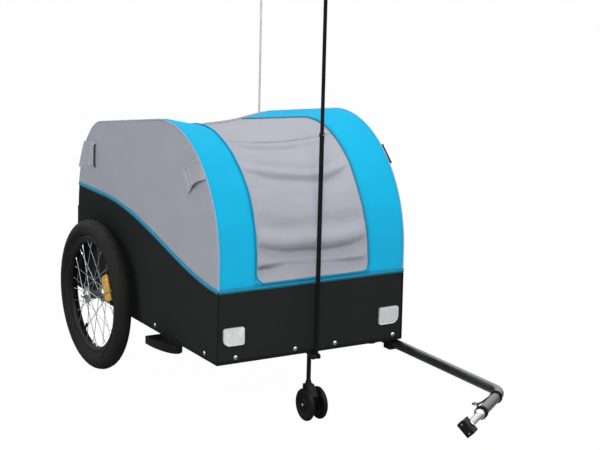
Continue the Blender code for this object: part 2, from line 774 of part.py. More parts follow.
def base_frame(steel):
    rear_station = BODY_LENGTH - RAIL_STATION
    half = BASE_TUBE / 2
    for side, word in ((-1, "right"), (1, "left")):
        x = side * RAIL_X
        box_rail(f"side_rail_{word}", at(x - half, RAIL_STATION - half, BODY_BOTTOM),
                 at(x + half, rear_station + half, BASE_TOP), "Y", steel)
    reach = RAIL_X - half - GAP
    front = box_rail("front_rail", at(-reach, RAIL_STATION - half, BODY_BOTTOM),
                     at(reach, RAIL_STATION + half, BASE_TOP), "X", steel)
    bm = bmesh.new()
    ends = (BODY_BOTTOM - CUT_PAST, BASE_TOP + CUT_PAST)
    add_rod(bm, *(at(0, RAIL_STATION, height) for height in ends), SOCKET_RADIUS + GAP, 16)
    cut(front, "caster_hole", bm)
    box_rail("rear_rail", at(-reach, rear_station - half, BODY_BOTTOM),
             at(reach, rear_station + half, BASE_TOP), "X", steel)


def hoops_and_bars(steel):
    foot = BASE_TOP + HOOP_FOOT
    path = [(HOOP_INSET, foot)] + front_arc(HOOP_INSET, 11) + rear_arc(HOOP_INSET, 8)
    path += [(BODY_LENGTH - HOOP_INSET, foot)]
    for side, word in ((-1, "right"), (1, "left")):
        points = [at(side * drawn_in(HOOP_X, height), station, height) for station, height in path]
        tube(f"bow_{word}", points, HOOP_RADIUS, steel, wall=HOOP_WALL, sides=8)

    above_curve = (REAR_WAIST - REAR_CURVE_START) / (ROOF_END_HEIGHT - REAR_CURVE_START - HOOP_INSET)
    rear = ROOF_END + (BODY_LENGTH - ROOF_END - HOOP_INSET) * math.sqrt(1 - above_curve**2)
    places = {"waist_bar": (HOOP_INSET, FRONT_WAIST - CROSS_BAR_RADIUS), "rear_cross_bar": (rear, REAR_WAIST)}
    for name, (station, height) in places.items():
        reach = drawn_in(BETWEEN_HOOPS, height + CROSS_BAR_RADIUS) - GAP
        bm = bmesh.new()
        add_rod(bm, at(-reach, station, height), at(reach, station, height), CROSS_BAR_RADIUS, 10)
        emit(name, bm, steel)


def floor_parts(steel, board):
    reach = RAIL_X + BASE_TUBE / 2
    bottom, top = BASE_TOP + GAP, FLOOR_BOTTOM - GAP
    ends = (SLAT_FROM_END["front"], BODY_LENGTH - SLAT_FROM_END["rear"])
    for word, station in zip(("front", "middle", "rear"), (ends[0], SLAT_MIDDLE, ends[1])):
        bm = bmesh.new()
        add_block(bm, at(-reach, station - SLAT_WIDTH / 2, bottom), at(reach, station + SLAT_WIDTH / 2, top))
        emit(f"floor_slat_{word}", bm, steel, smooth=False)
    inside = BETWEEN_HOOPS - FLOOR_MARGIN
    start = HOOP_INSET + HOOP_RADIUS + 2 * FLOOR_MARGIN
    bm = bmesh.new()
    add_block(bm, at(-inside, start, FLOOR_BOTTOM),
              at(inside, BODY_LENGTH - start, FLOOR_BOTTOM + FLOOR_THICKNESS))
    emit("floor_board", bm, board, smooth=False)


def guards(plastic):
    """Half ovals under the side rails, with a pocket in the part that stands out beside the cabin."""
    top = UNDERSIDE
    half = (GUARD_OUTSIDE - GUARD_INSIDE) / 2
    for side, word in ((-1, "right"), (1, "left")):
        middle = side * (GUARD_INSIDE + GUARD_OUTSIDE) / 2
        outline = arc((middle, FRONT_Y + GUARD_STATION), (half, GUARD_DEPTH), math.pi, 2 * math.pi, 16)
        bm = bmesh.new()
        add_prism(bm, outline, "Z", top - GUARD_HEIGHT, top)
        guard = emit(f"wheel_guard_{word}", bm, plastic)
        radii = (half - GUARD_WALL, GUARD_DEPTH - 2 * GUARD_WALL)
        oval = arc((middle, FRONT_Y + GUARD_STATION - GUARD_WALL), radii, math.pi, 2 * math.pi, 20)
        edge = HALF_WIDTH + GUARD_WALL
        outline = [(x, y) for x, y in oval if abs(x) > edge]
        rear = (side * edge, FRONT_Y + GUARD_STATION - GUARD_WALL)
        outline = [rear, *outline] if side == -1 else [*outline, rear]
        bm = bmesh.new()
        add_prism(bm, outline, "Z", top - GUARD_POCKET, top + CUT_PAST)
        cut(guard, f"guard_pocket_{word}", bm)


# Wheels


def tyre_profile():
    """A tyre's section, open towards the rim, as (along, radius)."""
    half = TYRE_WIDTH / 2
    middle = WHEEL_RADIUS - half
    bead = math.asin((middle - RIM_RADIUS - GAP) / half)
    outer = arc((0.0, middle), (half, half), -bead, math.pi + bead, 10)
    inner = []
    for index in range(6):
        angle = math.pi + bead - (math.pi + 2 * bead) * index / 5
        radius = half - TYRE_WALL - (TREAD_WALL - TYRE_WALL) * max(math.sin(angle), 0.0)
        inner.append((radius * math.cos(angle), middle + radius * math.sin(angle)))
    return outer + inner


def rim_profile():
    half = RIM_WIDTH / 2
    inner = RIM_RADIUS - RIM_DEPTH
    right = [(half, RIM_RADIUS), (half, inner + RIM_SHOULDER), (half - RIM_SHOULDER, inner)]
    left = [(-along, radius) for along, radius in reversed(right)]
    floor = RIM_RADIUS - RIM_WELL
    well = [(half - RIM_LIP, RIM_RADIUS), (half - 2 * RIM_LIP, floor)]
    return right + left + [(-along, radius) for along, radius in well] + list(reversed(well))


def hub_profile():
    bore = AXLE_RADIUS + RUNNING
    inside = FLANGE_PLACE - FLANGE_THICKNESS / 2
    outside = FLANGE_PLACE + FLANGE_THICKNESS / 2
    outer = []
    for side in (-1, 1):
        steps = [(HUB_HALF, HUB_RADIUS), (outside, HUB_RADIUS), (outside, FLANGE_RADIUS),
                 (inside, FLANGE_RADIUS), (inside, HUB_RADIUS)]
        if side == 1:
            steps.reverse()
        outer += [(side * along, radius) for along, radius in steps]
    return [(-HUB_HALF, bore)] + outer + [(HUB_HALF, bore)]


def add_spokes(bm, centre):
    """Straight spokes, laced tangent to the flanges, the leading and trailing ones on unlike faces."""
    rim_end = (RIM_RADIUS - RIM_DEPTH) * math.cos(math.pi / WHEEL_STEPS) - SPOKE_RADIUS
    hub_end = FLANGE_RADIUS - FLANGE_EDGE
    beside = FLANGE_THICKNESS / 2 + SPOKE_RADIUS / 2
    for index in range(SPOKE_COUNT):
        side = 1 if index % 2 else -1
        leading = 1 if (index // 2) % 2 else -1
        angle = 2 * math.pi * (index + 0.5) / SPOKE_COUNT
        hub_angle = angle - leading * SPOKE_WRAP
        hub_x = side * (FLANGE_PLACE + leading * beside)
        start = Vector((hub_x, hub_end * math.cos(hub_angle), hub_end * math.sin(hub_angle)))
        end = Vector((side * SPOKE_SPREAD, rim_end * math.cos(angle), rim_end * math.sin(angle)))
        add_rod(bm, Vector(centre) + start, Vector(centre) + end, SPOKE_RADIUS, 5)


def wheel(side, word, paints):
    rubber, rim_paint, steel, amber = paints
    centre = at(side * WHEEL_X, AXLE_STATION, WHEEL_RADIUS)
    hub_axis = axis_empty(f"wheel_{word}_axis", centre)
    for piece, profile, paint in (("tyre", tyre_profile(), rubber), ("rim", rim_profile(), rim_paint)):
        bm = bmesh.new()
        add_turned(bm, profile, centre, (1, 0, 0), WHEEL_STEPS)
        emit(f"{piece}_{word}", bm, paint, centre, hub_axis)
    bm = bmesh.new()
    add_turned(bm, hub_profile(), centre, (1, 0, 0), 20)
    hub = emit(f"hub_and_spokes_{word}", bm, steel, centre, hub_axis)
    bm = bmesh.new()
    add_spokes(bm, centre)
    join(hub, f"spokes_{word}", bm)
    bm = bmesh.new()
    half = [value / 2 for value in AMBER_SIZE]
    verts = add_block(bm, [-value for value in half], half)
    bmesh.ops.translate(bm, vec=(0, AMBER_REACH, 0), verts=verts)
    bmesh.ops.rotate(bm, cent=(0, 0, 0), matrix=Matrix.Rotation(AMBER_TURN, 3, "X"), verts=verts)
    bmesh.ops.translate(bm, vec=centre, verts=verts)
    soften(emit(f"spoke_reflector_{word}", bm, amber, centre, hub_axis, smooth=False), AMBER_EDGE, 1)


def axles(steel, bright):
    """The tube across the frame, the two axles that run into it, each with a shoulder, and their end nuts."""
    path = [at(-SKIN_INSIDE, AXLE_STATION, WHEEL_RADIUS), at(SKIN_INSIDE, AXLE_STATION, WHEEL_RADIUS)]
    tube("axle_tube", path, AXLE_TUBE_RADIUS, steel, wall=AXLE_TUBE_RADIUS - AXLE_RADIUS - GAP, sides=12)
    shoulder = (HALF_WIDTH + GAP, WHEEL_X - HUB_HALF - RUNNING)
    nut = (WHEEL_X + HUB_HALF + RUNNING, WHEEL_X + HUB_HALF + RUNNING + NUT_WIDTH)
    ends = (SKIN_INSIDE - AXLE_INSIDE, WHEEL_X + HUB_HALF + AXLE_END)
    for side, word in ((-1, "right"), (1, "left")):
        centre = at(0, AXLE_STATION, WHEEL_RADIUS)
        profile = [(ends[0], 0.0), (ends[0], AXLE_RADIUS), (shoulder[0], AXLE_RADIUS),
                   (shoulder[0], SPACER_RADIUS), (shoulder[1], SPACER_RADIUS), (shoulder[1], AXLE_RADIUS),
                   (ends[1], AXLE_RADIUS), (ends[1], 0.0)]
        bm = bmesh.new()
        mirrored = [(side * along, radius) for along, radius in profile]
        add_turned(bm, mirrored, centre, (1, 0, 0), 16, closed=False)
        emit(f"wheel_axle_{word}", bm, steel)
        faces = [centre + Vector((side * along, 0, 0)) for along in nut]
        bm = bmesh.new()
        add_rod(bm, *faces, NUT_RADIUS, 6)
        hexagon = emit(f"axle_nut_{word}", bm, bright, smooth=False)
        past = Vector((side * CUT_PAST, 0, 0))
        bm = bmesh.new()
        add_rod(bm, faces[0] - past, faces[1] + past, AXLE_RADIUS + GAP, 16)
        cut(hexagon, f"nut_bore_{word}", bm)


# Caster


def caster(plastic):
    stem = at(0, RAIL_STATION, 0)
    swivel = axis_empty("caster_swivel_axis", stem)
    inner = STEM_RADIUS + GAP
    profile = [(BODY_BOTTOM, inner), (BODY_BOTTOM, SOCKET_RADIUS),
               (SOCKET_TOP, SOCKET_RADIUS), (SOCKET_TOP, inner)]
    bm = bmesh.new()
    add_turned(bm, profile, stem, (0, 0, 1), 16)
    emit("caster_socket", bm, plastic)
    caster_fork(plastic, stem, swivel)
    for side, word in ((-1, "right"), (1, "left")):
        centre = at(side * CASTER_SPACING, RAIL_STATION - CASTER_TRAIL, CASTER_RADIUS)
        axis = axis_empty(f"caster_wheel_{word}_axis", centre)
        bm = bmesh.new()
        add_turned(bm, caster_wheel_profile(), centre, (1, 0, 0), 20)
        emit(f"caster_wheel_{word}", bm, plastic, centre, axis)


def caster_fork(plastic, stem, swivel):
    """The stem, the knuckle under it and the leg that runs forward and down to the axle."""
    top = UNDERSIDE - BRACKET_PLATE - GAP
    collar_radius, collar_height = STEM_COLLAR
    shoulder = KNUCKLE_TOP - KNUCKLE_TAPER
    low = KNUCKLE_TOP - KNUCKLE_DROP
    profile = [(STEM_TOP, 0), (STEM_TOP, STEM_RADIUS), (top, STEM_RADIUS), (top, collar_radius),
               (top - collar_height, collar_radius), (top - collar_height, STEM_RADIUS),
               (KNUCKLE_TOP, STEM_RADIUS), (shoulder, KNUCKLE_RADIUS), (low, KNUCKLE_RADIUS), (low, 0)]
    bm = bmesh.new()
    add_turned(bm, profile, stem, (0, 0, 1), 16, closed=False)
    fork = emit("caster_fork", bm, plastic, stem, swivel)
    nose = stem.y - CASTER_TRAIL
    ahead, above = FORK_NOSE
    back = KNUCKLE_RADIUS * math.cos(math.pi / 16)
    outline = [(nose + FORK_BOSS, CASTER_RADIUS), (stem.y + back, low), (stem.y + back, shoulder),
               (stem.y - back, shoulder), (nose - ahead, CASTER_RADIUS + above),
               (nose - FORK_BOSS, CASTER_RADIUS)]
    outline += arc((nose, CASTER_RADIUS), (FORK_BOSS, FORK_BOSS), math.pi, 2 * math.pi, 6)[1:-1]
    bm = bmesh.new()
    add_prism(bm, outline, "X", -FORK_WIDTH / 2, FORK_WIDTH / 2)
    join(fork, "caster_knuckle", bm)
    reach = CASTER_SPACING + CASTER_WHEEL_WIDTH / 2 + CASTER_AXLE_END
    bm = bmesh.new()
    add_rod(bm, at(-reach, RAIL_STATION - CASTER_TRAIL, CASTER_RADIUS),
            at(reach, RAIL_STATION - CASTER_TRAIL, CASTER_RADIUS), CASTER_AXLE_RADIUS, 12)
    join(fork, "caster_axle", bm)


def caster_wheel_profile():
    """One half of the section, from the bore out to the tread, and its mirror image."""
    width = CASTER_WHEEL_WIDTH / 2
    web = width - CASTER_DISH
    rim = CASTER_RADIUS - CASTER_TREAD
    half = [(width, CASTER_AXLE_RADIUS + RUNNING), (width, CASTER_HUB_RADIUS),
            (web, CASTER_HUB_RADIUS + CASTER_DISH), (web, rim - CASTER_DISH), (width, rim),
            (width, CASTER_RADIUS - CASTER_DISH), (web, CASTER_RADIUS)]
    return [(-along, radius) for along, radius in half] + list(reversed(half))


# Pull handle


def pull_handle(paint, plastic):
    pivot = at(0, -HANDLE_OFFSET, HANDLE_PIVOT_HEIGHT)
    handle_bracket(paint, pivot)
    tilt = axis_empty("handle_tilt_axis", pivot)
    foot = at(0, -HANDLE_OFFSET, HANDLE_PIVOT_HEIGHT - HANDLE_FOOT)
    joint = at(0, -HANDLE_OFFSET, HANDLE_JOINT_HEIGHT)
    lower = tube("handle_lower_tube", [foot, joint], HANDLE_RADIUS, paint, HANDLE_WALL, 12, pivot, tilt)
    through = Vector((2 * BRACKET_HALF, 0, 0))
    bm = bmesh.new()
    add_rod(bm, pivot - through, pivot + through, BRACKET_PIN[0] + RUNNING, 12)
    cut(lower, "handle_pin_hole", bm)

    bore = HANDLE_INNER_RADIUS + RUNNING
    profile = [(GAP, bore), (GAP, COLLAR_RADIUS), (COLLAR_HEIGHT - COLLAR_EDGE, COLLAR_RADIUS),
               (COLLAR_HEIGHT, COLLAR_RADIUS - COLLAR_EDGE), (COLLAR_HEIGHT, bore)]
    bm = bmesh.new()
    add_turned(bm, profile, joint, (0, 0, 1), 16)
    collar = emit("handle_collar", bm, plastic, joint)
    pin_radius, pin_end = COLLAR_PIN
    level = COLLAR_HEIGHT / 2
    bm = bmesh.new()
    add_rod(bm, joint + Vector((0, -(bore + COLLAR_RADIUS) / 2, level)),
            joint + Vector((0, -COLLAR_RADIUS - pin_end, level)), pin_radius, 10)
    join(collar, "collar_pin", bm)

    top = at(0, -HANDLE_OFFSET, HANDLE_TOP)
    start = joint - Vector((0, 0, HANDLE_OVERLAP))
    end = top - Vector((0, 0, GRIP_RADIUS + GAP))
    tube("handle_upper_tube", [start, end], HANDLE_INNER_RADIUS, paint, HANDLE_WALL, 12, joint)
    bm = bmesh.new()
    add_grip(bm, top)
    emit("handle_grip", bm, plastic, joint)


def handle_bracket(paint, pivot):
    """A plate under the front rail, with two ears and the pin on which the handle tilts."""
    plate_top = UNDERSIDE
    plate_bottom = plate_top - BRACKET_PLATE
    pole_back = HANDLE_RADIUS + 4 * RUNNING
    bm = bmesh.new()
    add_block(bm, at(-BRACKET_HALF, pole_back - HANDLE_OFFSET, plate_bottom),
              at(BRACKET_HALF, RAIL_STATION + BRACKET_REACH, plate_top))
    bracket = emit("handle_bracket", bm, paint, smooth=False)
    back = FRONT_Y + BRACKET_INSIDE
    outline = [(back, plate_top), (back, plate_bottom), (pivot.y + BRACKET_EAR, pivot.z - BRACKET_EAR)]
    round_end = arc((pivot.y, pivot.z), (BRACKET_EAR, BRACKET_EAR), 1.5 * math.pi, 0.5 * math.pi, 6)
    outline += round_end[:-1]
    outline.append((pivot.y, plate_top))
    for side, word in ((-1, "right"), (1, "left")):
        low, high = sorted((side * (HANDLE_RADIUS + RUNNING), side * BRACKET_HALF))
        bm = bmesh.new()
        add_prism(bm, outline, "X", low, high)
        join(bracket, f"bracket_ear_{word}", bm)
    pin_radius, pin_end = BRACKET_PIN
    reach = Vector((BRACKET_HALF + pin_end, 0, 0))
    bm = bmesh.new()
    add_rod(bm, pivot - reach, pivot + reach, pin_radius, 10)
    join(bracket, "bracket_pin", bm)
    ends = (plate_bottom - CUT_PAST, plate_top + CUT_PAST)
    bm = bmesh.new()
    add_rod(bm, *(at(0, RAIL_STATION, height) for height in ends), STEM_RADIUS + RUNNING, 16)
    cut(bracket, "bracket_hole", bm)


def add_grip(bm, centre):
    half = GRIP_WIDTH / 2
    neck, thinner = GRIP_NECK
    end = [(half, 0), (half, GRIP_END_RADIUS), (half - neck, GRIP_RADIUS - thinner),
           (half - GRIP_TAPER, GRIP_RADIUS)]
    profile = [(-along, radius) for along, radius in end] + list(reversed(end))
    add_turned(bm, profile, centre, (1, 0, 0), 16, closed=False)


# Flag


def flag_parts(white, plastic, orange):
    x = HALF_WIDTH + TAB_DEPTH + RUNNING + ROD_RADIUS
    bottom = at(x, ROD_STATION, ROD_BOTTOM)
    bore = ROD_RADIUS + RUNNING
    outer = bore + SOCKET_WALL
    profile = [(-SOCKET_FLOOR, 0), (-SOCKET_FLOOR, outer), (SOCKET_LENGTH, outer), (SOCKET_LENGTH, bore),
               (-GAP, bore), (-GAP, 0)]
    bm = bmesh.new()
    add_turned(bm, profile, bottom, (0, 0, 1), 12, closed=False)
    socket = emit("flag_socket", bm, plastic)
    half = outer * PAD_SHARE
    face = x - bore - SOCKET_WALL / 2
    bm = bmesh.new()
    pad = add_block(bm, at(HALF_WIDTH, ROD_STATION - half, ROD_BOTTOM),
                    at(face, ROD_STATION + half, ROD_BOTTOM + SOCKET_LENGTH - SOCKET_WALL))
    for vert in pad:
        if vert.co.x < (HALF_WIDTH + face) / 2:
            vert.co.x = drawn_in(HALF_WIDTH, vert.co.z) + GAP
    join(socket, "socket_pad", bm)
    bm = bmesh.new()
    add_rod(bm, bottom, at(x, ROD_STATION, ROD_TOP), ROD_RADIUS, 8)
    emit("flag_rod", bm, white, bottom)
    high = ROD_TOP - FLAG_FROM_TOP
    start = FRONT_Y + FLAG_START
    outline = [(start, high), (start, high - FLAG_HEIGHT), (start + FLAG_LENGTH, high - FLAG_HEIGHT / 2)]
    bm = bmesh.new()
    add_prism(bm, outline, "X", x - FLAG_THICKNESS / 2, x + FLAG_THICKNESS / 2)
    emit("flag", bm, orange, bottom, smooth=False)


# Tow arm


def tow_arm(paint, steel, plastic):
    pivot = at(TOW_X, TOW_PIVOT_STATION, TOW_HEIGHT)
    swing = axis_empty("tow_arm_axis", pivot)
    corner = at(TOW_X, -TOW_CORNER_AHEAD, TOW_HEIGHT)
    end = corner + LEG_DIRECTION * TOW_LEG
    path = bent_path([pivot + Vector((0, TOW_TAIL, 0)), corner, end], TOW_BEND_RADIUS, 8)
    arm = tube("tow_tube", path, TOW_RADIUS, paint, TOW_WALL, 12, pivot, swing)
    up = Vector((0, 0, 2 * TOW_RADIUS))
    bm = bmesh.new()
    add_rod(bm, pivot - up, pivot + up, TOW_BOLT_RADIUS + RUNNING, 12)
    cut(arm, "tow_bolt_hole", bm)
    pivot_bracket(steel, plastic)
    cradle(steel)
    hitch(corner, swing, steel, plastic)
    safety_strap(corner, pivot, swing, plastic)


def pivot_bracket(steel, plastic):
    """A fork under the side rail, and the knobbed bolt on which the arm turns."""
    upper = TOW_HEIGHT + TOW_RADIUS + RUNNING
    lower = TOW_HEIGHT - TOW_RADIUS - RUNNING
    rear = TOW_PIVOT_STATION + math.hypot(TOW_TAIL, TOW_RADIUS) + 2 * RUNNING
    front = TOW_PIVOT_STATION - TOW_BRACKET_HALF
    bm = bmesh.new()
    add_block(bm, at(TOW_X - TOW_BRACKET_HALF, front, lower - TOW_PLATE),
              at(TOW_X + TOW_BRACKET_HALF, rear + TOW_PLATE, UNDERSIDE))
    bracket = emit("tow_pivot_bracket", bm, steel, smooth=False)
    bm = bmesh.new()
    wide = 2 * TOW_BRACKET_HALF
    add_block(bm, at(TOW_X - wide, front - wide, lower), at(TOW_X + wide, rear, upper))
    cut(bracket, "bracket_slot", bm)
    bolt_top = upper + TOW_PLATE / 2
    bm = bmesh.new()
    add_rod(bm, at(TOW_X, TOW_PIVOT_STATION, lower - 2 * TOW_PLATE),
            at(TOW_X, TOW_PIVOT_STATION, bolt_top + GAP), TOW_BOLT_RADIUS + GAP, 12)
    cut(bracket, "bracket_bore", bm)
    head = lower - TOW_PLATE - GAP
    edge = head - KNOB_HEIGHT / 4
    foot = head - KNOB_HEIGHT
    profile = [(bolt_top, 0.0), (bolt_top, TOW_BOLT_RADIUS), (head, TOW_BOLT_RADIUS),
               (head, KNOB_RADIUS * KNOB_TOP), (edge, KNOB_RADIUS), (foot, KNOB_RADIUS), (foot, 0.0)]
    ground = at(TOW_X, TOW_PIVOT_STATION, 0)
    bm = bmesh.new()
    add_turned(bm, profile, ground, (0, 0, 1), 16, closed=False)
    knob = emit("tow_pivot_knob", bm, plastic, ground)
    bm = bmesh.new()
    reach, half = (KNOB_RADIUS * share for share in KNOB_WINGS)
    low, high = foot + TOW_PLATE / 4, head - TOW_PLATE / 4
    add_block(bm, ground + Vector((-reach, -half, low)), ground + Vector((reach, half, high)))
    join(knob, "knob_wings", bm)


def cradle(steel):
    """A rest for the arm under the front corner, open to the outside."""
    upper = TOW_HEIGHT + TOW_RADIUS + RUNNING
    lower = TOW_HEIGHT - TOW_RADIUS - RUNNING
    web = TOW_X - TOW_RADIUS - RUNNING
    half = CRADLE_LENGTH / 2
    bm = bmesh.new()
    add_block(bm, at(web - TOW_PLATE, CRADLE_STATION - half, lower - TOW_PLATE),
              at(TOW_X + CRADLE_LIP, CRADLE_STATION + half, UNDERSIDE))
    rest = emit("tow_cradle", bm, steel, smooth=False)
    bm = bmesh.new()
    add_block(bm, at(web, CRADLE_STATION - 2 * half, lower),
              at(TOW_X + 2 * CRADLE_LIP, CRADLE_STATION + 2 * half, upper))
    cut(rest, "cradle_slot", bm)


def leg_matrix(origin):
    """Local X and Y are the hitch's long and short sides, and Z is along the leg."""
    turn = Matrix((HITCH_ACROSS, HITCH_BOLT, LEG_DIRECTION)).transposed()
    return Matrix.Translation(origin) @ turn.to_4x4()


def hitch(corner, swing, steel, plastic):
    """The swivel that turns in the tube's end, and the block that turns on the swivel's bolt."""
    end = corner + LEG_DIRECTION * TOW_LEG
    pivot = end + LEG_DIRECTION * HITCH_PIVOT
    frame = leg_matrix(end)
    roll = axis_empty("hitch_roll_axis", end, swing)
    turn = axis_empty("hitch_pivot_axis", pivot, roll)
    shank = TOW_RADIUS - TOW_WALL - RUNNING
    profile = [(-SWIVEL_SHANK, 0.0), (-SWIVEL_SHANK, shank), (RUNNING, shank), (RUNNING, TOW_RADIUS),
               (SWIVEL_FLANGE, TOW_RADIUS), (SWIVEL_FLANGE + SWIVEL_TAPER, SWIVEL_RADIUS),
               (SWIVEL_NECK_END, SWIVEL_RADIUS), (SWIVEL_NECK_END + SWIVEL_EDGE, SWIVEL_RADIUS - SWIVEL_EDGE),
               (SWIVEL_NECK_END + SWIVEL_EDGE, 0.0)]
    bm = bmesh.new()
    add_turned(bm, profile, (0, 0, 0), (0, 0, 1), 16, closed=False)
    bmesh.ops.transform(bm, matrix=frame, verts=bm.verts)
    swivel = emit("hitch_swivel", bm, steel, end, roll)
    tip = SWIVEL_RADIUS
    root = SWIVEL_NECK_END - 2 * SWIVEL_EDGE
    outline = [(tip - TONGUE_INSET, root), *arc((0.0, HITCH_PIVOT), (tip, tip), 0.0, math.pi, 10),
               (TONGUE_INSET - tip, root)]
    bm = bmesh.new()
    add_prism(bm, outline, "Y", -TONGUE_HALF, TONGUE_HALF)
    bmesh.ops.transform(bm, matrix=frame, verts=bm.verts)
    join(swivel, "swivel_tongue", bm)
    reach = HITCH_SHORT / 2 + HITCH_BOLT_END
    bm = bmesh.new()
    add_rod(bm, (0, -reach, HITCH_PIVOT), (0, reach, HITCH_PIVOT), HITCH_BOLT_RADIUS, 12)
    bmesh.ops.transform(bm, matrix=frame, verts=bm.verts)
    join(swivel, "swivel_bolt", bm)

    long_half, short_half = HITCH_LONG / 2, HITCH_SHORT / 2
    bm = bmesh.new()
    add_block(bm, (-long_half, -short_half, HITCH_START), (long_half, short_half, HITCH_FRONT))
    bmesh.ops.transform(bm, matrix=frame, verts=bm.verts)
    block = emit("hitch_block", bm, plastic, pivot, turn, smooth=False)
    soften(block, HITCH_EDGE, 1)
    slot = TONGUE_HALF + RUNNING
    slot_end = HITCH_PIVOT + tip + RUNNING
    bm = bmesh.new()
    add_block(bm, (-HITCH_LONG, -slot, HITCH_START - CUT_PAST), (HITCH_LONG, slot, slot_end))
    bmesh.ops.transform(bm, matrix=frame, verts=bm.verts)
    cut(block, "hitch_slot", bm)
    bore = HITCH_BOLT_RADIUS + RUNNING
    bm = bmesh.new()
    add_rod(bm, (0, -HITCH_SHORT, HITCH_PIVOT), (0, HITCH_SHORT, HITCH_PIVOT), bore, 12)
    bmesh.ops.transform(bm, matrix=frame, verts=bm.verts)
    cut(block, "hitch_bore", bm)


def safety_strap(corner, pivot, swing, plastic):
    """A strap behind the leg, from the bend through a ring to a band round the tube's end."""
    rear = -LEG_SIDE
    beside = TOW_RADIUS + GAP + STRAP_RADIUS
    band = TOW_LEG - BAND_HALF - BAND_FROM_END
    along, out = STRAP_RING
    before, after = STRAP_BEFORE_RING, STRAP_AFTER_RING
    stops = ((STRAP_START, beside), (STRAP_START + 2 * BAND_HALF, beside + RUNNING),
             (along - before[0], out - before[1]), (along, out), (along + after[0], out - after[1]),
             (band, beside))
    path = smooth_path([corner + LEG_DIRECTION * place + rear * away for place, away in stops], 3)
    strap = tube("safety_strap", path, STRAP_RADIUS, plastic, 0.0, 8, pivot, swing)
    inner, outer = TOW_RADIUS + GAP, TOW_RADIUS + BAND_THICKNESS
    for name, place, half in (("end_band", band, BAND_HALF), ("bend_band", STRAP_START, BEND_BAND_HALF)):
        bm = bmesh.new()
        profile = [(-half, inner), (-half, outer), (half, outer), (half, inner)]
        add_turned(bm, profile, corner + LEG_DIRECTION * place, LEG_DIRECTION, 14)
        join(strap, name, bm)
    ring = arc((0.0, STRAP_RING_RADIUS), (STRAP_WIRE, STRAP_WIRE), 0.0, 2 * math.pi, 6)[:-1]
    centre = corner + LEG_DIRECTION * along + rear * (out + STRAP_RING_RADIUS)
    bm = bmesh.new()
    add_turned(bm, ring, centre, (0, 0, 1), 14)
    join(strap, "strap_ring", bm)


def smooth_path(points, steps):
    """Catmull-Rom points through a short list of points."""
    padded = [points[0] * 2 - points[1], *points, points[-1] * 2 - points[-2]]
    path = []
    for a, b, c, d in zip(padded, padded[1:], padded[2:], padded[3:]):
        for index in range(steps):
            t = index / steps
            bend = (2 * a - 5 * b + 4 * c - d) * t**2 + (3 * b - a - 3 * c + d) * t**3
            path.append((2 * b + (c - a) * t + bend) / 2)
    path.append(points[-1])
    return path


def build():
    clear_scene()
    black_cloth = finish("black_cloth", (0.020, 0.020, 0.021), 0.85)
    grey_cloth = finish("grey_cloth", (0.29, 0.30, 0.34), 0.85)
    pale_cloth = finish("pale_grey_cloth", (0.42, 0.43, 0.47), 0.85)
    cyan_cloth = finish("cyan_cloth", (0.015, 0.50, 0.86), 0.75)
    black_paint = finish("black_paint", (0.015, 0.015, 0.016), 0.35)
    black_plastic = finish("black_plastic", (0.02, 0.02, 0.021), 0.5)
    rubber = finish("tyre_rubber", (0.018, 0.018, 0.018), 0.75)
    rim_paint = finish("rim_paint", (0.06, 0.06, 0.065), 0.4)
    zinc = finish("zinc", (0.55, 0.57, 0.60), 0.3, 1.0)
    chrome = finish("chrome", (0.75, 0.76, 0.78), 0.15, 1.0)
    board = finish("floor_board", (0.03, 0.03, 0.032), 0.8)
    lens = finish("white_lens", (0.65, 0.67, 0.67), 0.25)
    amber = finish("amber_lens", (0.62, 0.26, 0.02), 0.25)
    white_rod = finish("white_rod", (0.75, 0.75, 0.74), 0.4)
    orange_cloth = finish("orange_cloth", (0.85, 0.14, 0.02), 0.7)

    cabin_cloth(black_cloth, grey_cloth, pale_cloth, cyan_cloth)
    side_pocket(black_cloth)
    reflectors(lens)
    base_frame(black_paint)
    hoops_and_bars(black_paint)
    floor_parts(black_paint, board)
    guards(black_plastic)
    for side, word in ((-1, "right"), (1, "left")):
        wheel(side, word, (rubber, rim_paint, zinc, amber))
    axles(zinc, chrome)
    caster(black_plastic)
    pull_handle(black_paint, black_plastic)
    flag_parts(white_rod, black_plastic, orange_cloth)
    tow_arm(black_paint, zinc, black_plastic)


build()
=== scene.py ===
"""Looks of a bicycle trailer: cloth cabin, spoked wheels, caster, pull handle, flag and tow arm.
Stations are distances behind the cabin's front face, and heights are above the ground."""

import math

import bmesh
import bpy
import numpy as np
from mathutils import Matrix, Vector


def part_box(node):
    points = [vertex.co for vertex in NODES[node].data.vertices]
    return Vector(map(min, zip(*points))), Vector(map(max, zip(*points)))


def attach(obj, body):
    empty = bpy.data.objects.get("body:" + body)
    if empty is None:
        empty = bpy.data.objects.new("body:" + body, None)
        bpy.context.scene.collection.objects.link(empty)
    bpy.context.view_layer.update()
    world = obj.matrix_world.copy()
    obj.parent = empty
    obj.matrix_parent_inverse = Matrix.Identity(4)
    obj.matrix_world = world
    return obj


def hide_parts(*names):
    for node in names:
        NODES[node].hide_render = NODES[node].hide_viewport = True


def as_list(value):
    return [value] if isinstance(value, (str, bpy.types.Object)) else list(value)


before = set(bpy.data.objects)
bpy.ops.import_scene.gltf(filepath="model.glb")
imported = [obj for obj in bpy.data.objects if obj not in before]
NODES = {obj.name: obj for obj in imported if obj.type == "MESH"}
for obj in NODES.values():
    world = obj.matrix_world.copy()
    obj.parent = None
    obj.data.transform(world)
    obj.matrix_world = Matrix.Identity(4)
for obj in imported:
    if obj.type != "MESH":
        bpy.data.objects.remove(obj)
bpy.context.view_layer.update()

SIDES = ((-1, "right"), (1, "left"))
SIDEWAYS = Vector((1, 0, 0))
UP = Vector((0, 0, 1))

